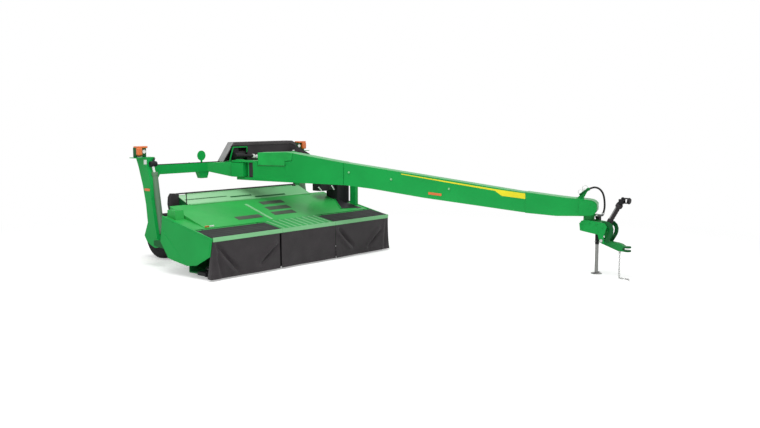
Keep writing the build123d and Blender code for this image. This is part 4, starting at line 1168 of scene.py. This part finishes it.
# The front bars are painted pale: a painted highlight.
for word, body, low_x, high_x in (("right", "door_right", -DOOR_OUTER, -DOOR_INNER - 0.002),
                                  ("centre", "header", -DOOR_INNER + 0.002, DOOR_INNER - 0.002),
                                  ("left", "door_left", DOOR_INNER + 0.002, DOOR_OUTER)):
    bar = block("front_bar_" + word, (low_x, -2.0805, 0.600), (high_x, -2.0690, 0.668), 0.004, 3)
    fit_out(bar, body, "deck_green", "pale_green")

# %% [markdown]
# ## Cross drive and its shroud
# A moulded black shroud covers the shafts that run across the machine: a rear wall, sloping ends, a top
# and a front. The front is closed along most of its length, under a raised lip, and open near the
# tongue, where a welded green frame and the first shaft with its joint show.

# %% Shroud walls
SHROUD_OUTLINE = ((-0.103, 1.657), (0.151, 2.000), (1.620, 2.000), (1.735, 1.945), (1.735, 1.824),
                  (1.634, 1.812), (1.634, 1.657))
LEFT_END = ((-0.103, 1.657), (0.151, 2.000), (0.165, 1.992), (-0.088, 1.657))
RIGHT_END = ((1.612, 2.000), (1.735, 1.945), (1.735, 1.824), (1.723, 1.824), (1.723, 1.937), (1.610, 1.989))
RIGHT_FOOT = ((1.634, 1.812), (1.735, 1.824), (1.735, 1.836), (1.622, 1.824), (1.622, 1.657), (1.634, 1.657))
FRONT_PANEL = ((0.470, 1.657), (1.634, 1.657), (1.634, 1.812), (1.735, 1.824), (1.735, 1.945),
               (1.620, 2.000), (0.470, 2.000))
OVER_WINDOW = ((0.070, 1.925), (0.480, 1.925), (0.480, 2.000), (0.151, 2.000), (0.110, 1.945))
LIP = ((0.100, 1.940), (1.600, 1.940), (1.700, 1.893), (1.736, 1.900), (1.736, 1.946), (1.621, 2.001),
       (0.151, 2.001))
SHROUD_MIDDLE = 0.065
shroud_walls = [
    plate("left_end", LEFT_END, 0.170, facing_front(SHROUD_MIDDLE), 0.004, STAY),
    plate("right_end", RIGHT_END, 0.170, facing_front(SHROUD_MIDDLE), 0.004, STAY),
    plate("right_foot", RIGHT_FOOT, 0.166, facing_front(SHROUD_MIDDLE), 0.003, STAY),
    plate("rear_wall", SHROUD_OUTLINE, 0.012, facing_front(0.144), 0.003, STAY),
    plate("front_panel", FRONT_PANEL, 0.012, facing_front(-0.014), 0.003, STAY),
    plate("over_window", OVER_WINDOW, 0.012, facing_front(-0.0142), 0.003, STAY),
    block("top", (0.150, -0.019, 1.988), (1.622, 0.149, 2.0005), 0.004, 3, STAY),
]
fit_out(joined("shroud_moulded", shroud_walls), "frame", "dark_plastic", replaces=("shroud",), place=MACHINE)
# The lip's paler grey paints the light on its top band: a painted highlight.
lip = plate("shroud_lip", LIP, 0.020, facing_front(-0.022), 0.008)
fit_out(lip, "frame", "dark_plastic", "dull_plastic")
# A light grey sheet along the sloping end paints its highlight.
end_sheet = plate("shroud_end_sheet", ((-0.104, 1.660), (0.148, 2.000), (0.152, 1.998), (-0.100, 1.658)),
                  0.150, facing_front(SHROUD_MIDDLE), 0.001)
fit_out(end_sheet, "frame", "dark_plastic", "worn_plastic")

# %% Window frame and first shaft
WINDOW_FRAME = (
    ((0.036, 1.657), (0.120, 1.900), (0.146, 1.900), (0.062, 1.657)),
    ((0.120, 1.900), (0.126, 1.922), (0.490, 1.922), (0.490, 1.900)),
    ((0.460, 1.902), (0.484, 1.902), (0.484, 1.815), (0.460, 1.815)),
)
window = [plate("window_frame", outline, 0.016, facing_front(-0.012), 0.003, STAY)
          for outline in WINDOW_FRAME]
fit_out(joined("window_frame", window), "frame", "green", place=MACHINE)
SHAFT_Y = -0.074
SHAFT_Z = 1.760
shaft_parts = [
    block("drive_case", (0.150, -0.060, 1.6565), (0.330, 0.060, 1.810), 0.020, 3),
    drum("drive_hub", (0.120, SHAFT_Y, SHAFT_Z), (0.270, SHAFT_Y, SHAFT_Z), 0.052, 36, 0.010),
    drum("drive_bell", (0.270, SHAFT_Y, SHAFT_Z), (0.350, SHAFT_Y, SHAFT_Z - 0.004), 0.042, 36, 0.014),
    drum("drive_tube", (0.330, SHAFT_Y, SHAFT_Z - 0.004), (0.640, SHAFT_Y, SHAFT_Z - 0.020), 0.027, 32,
         0.003),
]
fit_out(joined("drive_shaft", shaft_parts), "frame", "dark_plastic", "hose")
# The joint is painted white: a painted highlight.
joint = [
    block("joint_fork", (0.545, SHAFT_Y - 0.036, 1.704), (0.585, SHAFT_Y + 0.030, 1.776), 0.012, 3),
    block("joint_fork", (0.610, SHAFT_Y - 0.030, 1.698), (0.655, SHAFT_Y + 0.024, 1.764), 0.012, 3),
    drum("joint_cross", (0.598, SHAFT_Y - 0.044, 1.738), (0.598, SHAFT_Y + 0.036, 1.738), 0.018, 20, 0.003),
]
fit_out(joined("drive_joint", joint), "frame", "steel", "white")

# %% [markdown]
# ## Legs
# A lift cylinder stands on the front face of each leg, with a white rod, whose white is a painted highlight
# on chrome, and a black knuckle above it.
# The leg's foot carries a turned boss where the header's arms are pinned. A plain plate and an amber
# reflector are screwed to the leg's outer face.

# %% Leg fittings
for side, word in ((-1, "right"), (1, "left")):
    x = side * 1.690
    barrel = [
        drum("barrel", (x, -0.300, 0.610), (x, -0.165, 1.500), 0.050, 40, 0.008, STAY),
        drum("barrel_cap", (x, -0.167, 1.490), (x, -0.158, 1.552), 0.056, 40, 0.008, STAY),
        drum("barrel_foot", (x - 0.050, -0.306, 0.580), (x + 0.050, -0.306, 0.580), 0.046, 32, 0.006, STAY),
    ]
    fit_out(joined("lift_cylinder_" + word, barrel), "frame", "black", "grey_green", place=MACHINE)
    # The rod is painted white: a painted highlight on its chrome.
    rod_piece = drum("lift_rod_" + word, (x - 0.004, -0.160, 1.545), (x - 0.014, -0.142, 1.650), 0.021, 24,
                     0.002)
    fit_out(rod_piece, "frame", "steel", "white")
    knuckle = [
        drum("knuckle", (x - 0.070, -0.142, 1.690), (x + 0.050, -0.142, 1.690), 0.046, 32, 0.008, STAY),
        drum("hose_end", (x - 0.012, -0.150, 1.725), (x + 0.034, -0.120, 1.782), 0.015, 20, 0.003, STAY),
    ]
    fit_out(joined("lift_knuckle_" + word, knuckle), "frame", "black", place=MACHINE)
    low_x, high_x = sorted((side * 1.8005, side * 1.8065))
    tag = block("leg_plate_" + word, (low_x, -0.106, 1.684), (high_x, -0.030, 1.762), 0.0025)
    fit_out(tag, "frame", "steel", "white")
    amber = block("leg_reflector_" + word, (low_x, -0.172, 1.246), (high_x, -0.030, 1.288), 0.0025)
    fit_out(amber, "frame", "lens")
    boss_low, boss_high = sorted((side * 1.792, side * 1.822))
    pivot = drum("pivot_boss_" + word, (boss_low, -0.330, 0.400), (boss_high, -0.330, 0.400), 0.060, 36,
                 0.005)
    fit_out(pivot, "frame", "green")
    low_x, high_x = sorted((side * 1.655, side * 1.785))
    band = block("leg_band_" + word, (low_x, -0.204, 1.120), (high_x, -0.196, 1.130), 0.002)
    fit_out(band, "frame", "green")

# %% [markdown]
# ## Hitch
# The swivel hitch hangs under the front end of the tongue: two side plates round a bevel gearcase, a
# drawbar with a clevis, a curved guard round the stowed drive shaft, the parking jack, hoses held in a
# bracket on top, and a safety chain down to the ground.

# %% Curved guard and drawbar tip
GUARD = ((-0.270, 0.868), (-0.385, 0.868), (-0.435, 0.822), (-0.456, 0.762), (-0.452, 0.700),
         (-0.435, 0.655), (-0.372, 0.548), (-0.320, 0.556), (-0.325, 0.590), (-0.368, 0.655),
         (-0.388, 0.705), (-0.392, 0.752), (-0.378, 0.790), (-0.340, 0.818), (-0.285, 0.822))
guards = [plate("guard", GUARD, 0.0135, facing_side(x), 0.004, STAY) for x in (-0.0887, 0.0887)]
guards.append(drum("guard_bar", (-0.093, -0.415, 0.672), (0.093, -0.415, 0.672), 0.010, 16, 0.001, STAY))
fit_out(joined("hitch_guard_curved", guards), "hitch", "black", "dark_green", ("hitch_guard",), place=HITCH)
tip = drum("clevis_tip", (0, -0.645, 0.423), (0, -0.645, 0.4495), 0.060, 40, 0.006, HITCH)
tip_upper = drum("clevis_tip_upper", (0, -0.645, 0.4805), (0, -0.645, 0.507), 0.060, 40, 0.006, HITCH)
fit_out(joined("clevis_jaws", [tip, tip_upper]), "hitch", "cast", "dark_green")
for side in (-1, 1):
    ring = [(side * 0.111, y, z)
            for y, z in ((0.060, 0.790), (0.050, 0.730), (-0.060, 0.830), (-0.180, 0.820), (-0.285, 0.770),
                         (-0.215, 0.700))]
    bolts("hitch_bolts_" + str(side + 2), ring, (side, 0, 0), 0.013, "hitch", "steel", "green", HITCH)
crossed = drum("drawbar_pin", (-0.128, -0.270, 0.570), (0.128, -0.270, 0.570), 0.026, 24, 0.004, HITCH)
fit_out(crossed, "hitch", "steel")

# %% Stowed drive shaft
PTO_BASE = Vector((0, -0.315, 0.800))
PTO_TOP = Vector((0, -0.535, 1.190))
PTO_WAY = (PTO_TOP - PTO_BASE).normalized()


def on_shaft(at):
    return PTO_BASE + PTO_WAY * at


tubes = [
    drum("eye", (-0.024, -0.315, 0.800), (0.024, -0.315, 0.800), 0.028, 28, 0.003, STAY),
    drum("inner_tube", on_shaft(0.0), on_shaft(0.42), 0.026, 28, 0.002, STAY),
    drum("outer_tube", on_shaft(0.060), on_shaft(0.375), 0.036, 32, 0.004, STAY),
    drum("bell_low", on_shaft(0.055), on_shaft(0.115), 0.046, 32, 0.012, STAY),
    drum("bell_high", on_shaft(0.330), on_shaft(0.395), 0.054, 32, 0.016, STAY),
]
for at in spaced(0.150, 0.045, 4):
    tubes.append(drum("tube_rib", on_shaft(at), on_shaft(at + 0.010), 0.039, 32, 0.002, STAY))
fit_out(joined("pto_tube", tubes), "pto", "dark_plastic", replaces=("pto_shaft",), place=HITCH)
yokes = []
for x in (-0.040, 0.040):
    yokes.append(block("fork_arm", (x - 0.008, -0.575, 1.150), (x + 0.008, -0.500, 1.225), 0.006, 2, STAY))
for z in (1.165, 1.235):
    yokes.append(block("yoke_arm", (-0.024, -0.640, z - 0.009), (0.024, -0.530, z + 0.009), 0.006, 2, STAY))
yokes += [
    drum("cross_pin", (-0.058, -0.548, 1.198), (0.058, -0.548, 1.198), 0.017, 20, 0.003, STAY),
    drum("cross_post", (0, -0.548, 1.145), (0, -0.548, 1.252), 0.017, 20, 0.003, STAY),
    drum("yoke_base", (0, -0.512, 1.158), (0, -0.490, 1.120), 0.044, 28, 0.005, STAY),
    drum("yoke_hub", (0, -0.630, 1.200), (0, -0.672, 1.196), 0.042, 28, 0.004, STAY),
    drum("lock_collar", (0, -0.645, 1.199), (0, -0.660, 1.198), 0.050, 28, 0.004, STAY),
]
fit_out(joined("pto_yoke", yokes), "pto", "dark_plastic", "black", place=HITCH)
# A light grey strip along the tube paints its highlight.
STRIP_OFF = Vector((-0.0235, 0.016, 0.008))
strip = drum("pto_strip", on_shaft(0.120) + STRIP_OFF, on_shaft(0.325) + STRIP_OFF, 0.014, 20, 0.001, HITCH)
fit_out(strip, "pto", "dark_plastic", "worn_plastic")

# %% Jack
# The pin holes are thin black discs: painted shade in the holes.
holes = []
for z in spaced(0.130, 0.055, 6):
    holes.append(drum("hole", (0.13335, -0.070, z), (0.1352, -0.070, z), 0.004, 12, 0, HITCH))
fit_out(joined("jack_holes", holes), "jack", "black")
foot = plate("jack_foot_rim",
             ((0.060, -0.055), (0.260, -0.055), (0.270, -0.070), (0.260, -0.085), (0.060, -0.085),
              (0.050, -0.070)), 0.008, facing_up(0.017), 0.003, HITCH)
fit_out(foot, "jack", "steel", "dark_steel")
crank = [
    drum("crank_head", (0.160, -0.070, 0.885), (0.160, -0.070, 0.912), 0.040, 28, 0.005, HITCH),
    drum("crank_arm", (0.160, -0.070, 0.904), (0.262, -0.070, 0.904), 0.008, 16, 0.001, HITCH),
    drum("crank_knob", (0.255, -0.070, 0.906), (0.255, -0.070, 0.838), 0.012, 20, 0.003, HITCH),
]
fit_out(joined("jack_crank", crank), "hitch", "black")
pin = drum("jack_pin", (0.080, -0.070, 0.520), (0.215, -0.070, 0.520), 0.008, 16, 0.001, HITCH)
fit_out(pin, "hitch", "steel")

# %% [markdown]
# ### Safety chain
# One link is a torus stretched along one side. Copies of it hang from a shackle under the drawbar, each
# turned a quarter against the last, and the rest of the chain lies on the ground, where the links lean
# left and right in turn.

# %% Chain
LINK_PITCH = 0.031
LINK_RADIUS = 0.0125
LINK_WIRE = 0.0042
CHAIN_TOP = 0.392
CHAIN_REST = 0.017
LINKS_ON_FLOOR = 11
CHAIN_FLOOR = ((-0.020, -0.535), (-0.062, -0.575), (-0.080, -0.630), (-0.064, -0.680), (-0.095, -0.730),
               (-0.190, -0.768))


def along_route(points, distance):
    """The point at a distance along a route of points."""
    for here, there in zip(points, points[1:]):
        run = Vector(there) - Vector(here)
        if distance <= run.length:
            return Vector(here) + run.normalized() * distance
        distance -= run.length
    return Vector(points[-1])


def link(here, there, roll):
    """One chain link, hooked round the joints at its two ends."""
    way = there - here
    bpy.ops.mesh.primitive_torus_add(major_segments=20, minor_segments=8, major_radius=LINK_RADIUS,
                                     minor_radius=LINK_WIRE)
    piece = bpy.context.object
    piece.scale = ((way.length / 2 + LINK_WIRE) / LINK_RADIUS, 1.0, 1.0)
    apply_place(piece)
    turn = way.to_track_quat("X", "Z").to_matrix().to_4x4()
    apply_place(piece, Matrix.Translation((here + there) / 2) @ turn @ Matrix.Rotation(roll, 4, "X"))
    return piece


hanging = round((CHAIN_TOP - CHAIN_REST) / LINK_PITCH)
drop = (CHAIN_TOP - CHAIN_REST) / hanging
joints = [Vector((*CHAIN_FLOOR[0], CHAIN_TOP - drop * number)) for number in range(hanging)]
joints += [Vector((*along_route(CHAIN_FLOOR, LINK_PITCH * number), CHAIN_REST))
           for number in range(LINKS_ON_FLOOR)]
links = []
for number, (here, there) in enumerate(zip(joints, joints[1:])):
    quarter = math.pi / 2 * (number % 2)
    links.append(link(here, there, quarter if number < hanging else math.pi / 4 - quarter))
links.append(drum("shackle_pin", (-0.048, -0.535, 0.418), (0.008, -0.535, 0.418), 0.010, 16, 0.001, STAY))
for x in (-0.040, 0.000):
    links.append(drum("shackle_side", (x, -0.535, 0.392), (x, -0.535, 0.430), 0.008, 12, 0.001, STAY))
links.append(drum("shackle_bow", (-0.044, -0.535, 0.392), (0.004, -0.535, 0.392), 0.008, 12, 0.001, STAY))
fit_out(joined("safety_chain_links", links), "hitch", "steel", replaces=("safety_chain",), place=HITCH)
print("chain of", len(joints) - 1, "links")

# %% [markdown]
# ### Hoses
# The hoses to the tractor are bundled in a black sleeve. It leaves the holder on the tongue forwards
# and up, turns over in one wide arch and comes down to an elbow on the tongue's end. Its line is a
# smooth spline through the open air, with the route's points as its control points.

# %% Hose holder and hose arch
HOSE_ROUTE = ((0, -6.118, 1.352), (0, -6.167, 1.375), (0, -6.221, 1.375), (0, -6.270, 1.353),
              (0, -6.308, 1.312), (0, -6.334, 1.255), (0, -6.348, 1.179), (0, -6.354, 1.095),
              (0, -6.348, 1.023), (0, -6.336, 0.981))
HOSE_THICK = 0.030
WIRE_THICK = 0.0035
clamp_way = (Vector(HOSE_ROUTE[1]) - Vector(HOSE_ROUTE[0])).normalized()
holder = [
    plate("holder_plate",
          ((-5.930, 1.204), (-6.030, 1.200), (-6.082, 1.300), (-6.104, 1.332), (-6.090, 1.352),
           (-6.035, 1.330), (-5.985, 1.262)), 0.010, facing_side(0), 0.002, STAY),
    plate("holder_foot", ((-5.925, 1.203), (-6.035, 1.1965), (-6.035, 1.207), (-5.925, 1.2135)), 0.090,
          facing_side(0), 0.002, STAY),
    drum("holder_clamp", Vector(HOSE_ROUTE[0]) - clamp_way * 0.050,
         Vector(HOSE_ROUTE[0]) - clamp_way * 0.001, 0.0245, 28, 0.004, STAY),
]
fit_out(joined("hose_holder_bent", holder), "tongue", "green", replaces=("hose_holder",), place=TONGUE)


def wire(centre, radius, degrees):
    """A ring of wire, turned about Y."""
    bpy.ops.mesh.primitive_torus_add(major_segments=32, minor_segments=10, major_radius=radius,
                                     minor_radius=WIRE_THICK)
    ring = bpy.context.object
    apply_place(ring, Matrix.Translation(centre) @ Matrix.Rotation(math.radians(degrees), 4, "Y"))
    return ring


rings = [
    wire((-0.012, -5.985, 1.300), 0.038, 90),
    wire((-0.020, -6.050, 1.365), 0.040, 78),
    wire((0.018, -6.030, 1.320), 0.030, 100),
]
fit_out(joined("holder_wires", rings), "tongue", "steel", place=TONGUE)
couplers = []
COUPLER_WAY = Vector((0, -0.066, 0.050))
for place in ((-0.030, -6.010, 1.285), (0.030, -6.020, 1.290), (-0.028, -6.070, 1.330),
              (0.030, -6.078, 1.335)):
    back, front = Vector(place) - COUPLER_WAY / 2, Vector(place) + COUPLER_WAY / 2
    couplers.append(drum("coupler", back, front, 0.014, 20, 0.003, STAY))
    couplers.append(drum("coupler_cap", Vector(place) - COUPLER_WAY * 0.62, back, 0.017, 20, 0.003, STAY))
fit_out(joined("couplers", couplers), "tongue", "black", "dark_green", place=TONGUE)


def route_length(points):
    return sum((Vector(b) - Vector(a)).length for a, b in zip(points, points[1:]))


def hose(name, points, thick, place):
    """A smooth spline with a round section along the route's points."""
    curve = bpy.data.curves.new(name, "CURVE")
    curve.dimensions = "3D"
    spline = curve.splines.new("NURBS")
    spline.points.add(len(points) - 1)
    for point, spot in zip(spline.points, points):
        point.co = (*(place @ Vector(spot)), 1.0)
    spline.order_u = 3
    spline.use_endpoint_u = True
    spline.resolution_u = 12
    curve.bevel_depth = thick / 2
    curve.bevel_resolution = 5
    curve.use_fill_caps = True
    piece = bpy.data.objects.new(name, curve)
    scene.collection.objects.link(piece)
    return piece


elbow = hose("hose_elbow_bent",
             ((0, -6.336, 0.981), (0, -6.3305, 0.962), (0, -6.325, 0.943), (0, -6.305, 0.943),
              (0, -6.2195, 0.943)), 0.034, TONGUE)
elbow.data.materials.append(finishes["dark_steel"])
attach(elbow, "tongue")
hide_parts("hose_elbow")
nuts = [
    drum("nut", (0, -6.3365, 0.983), (0, -6.3310, 0.963), 0.0225, 6, 0.002, STAY),
    drum("nut", (0, -6.250, 0.943), (0, -6.222, 0.943), 0.0230, 6, 0.002, STAY),
]
fit_out(joined("elbow_nuts", nuts), "tongue", "steel", place=TONGUE)
sleeve_hose = hose("hose_arch_smooth", HOSE_ROUTE, HOSE_THICK, TONGUE)
sleeve_hose.data.materials.append(finishes["hose"])
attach(sleeve_hose, "tongue")
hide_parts("hose_arch")
print("route of the hose is", round(route_length(HOSE_ROUTE), 3), "m along its corners")

# %% [markdown]
# ### Hose on the crossbar
# A thin black hose lies along the front edge of the crossbar's top, from near the right leg to near the
# pivot head. Three small clips hold it, and its two ends stop inside clips. It waves a little, as a hose
# that isn't pulled tight does.

# %% Crossbar hose
BAR_TOP = 1.6560
LINE_THICK = 0.014
LINE_WAVE = 0.006
line_route = []
for number, x in enumerate(spaced(-1.500, 0.095, 15)):
    line_route.append((x, 0.020 + LINE_WAVE * math.sin(2.3 * number), BAR_TOP + LINE_THICK / 2))
line_hose = hose("crossbar_hose", line_route, LINE_THICK, MACHINE)
line_hose.data.materials.append(finishes["hose"])
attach(line_hose, "frame")
clips = []
for number in (0, 7, 14):
    x, y, z = line_route[number]
    clips.append(block("clip", (x - 0.012, y - 0.014, BAR_TOP - 0.001), (x + 0.012, y + 0.014, z + 0.010),
                       0.003, 2))
fit_out(joined("crossbar_clips", clips), "frame", "black")
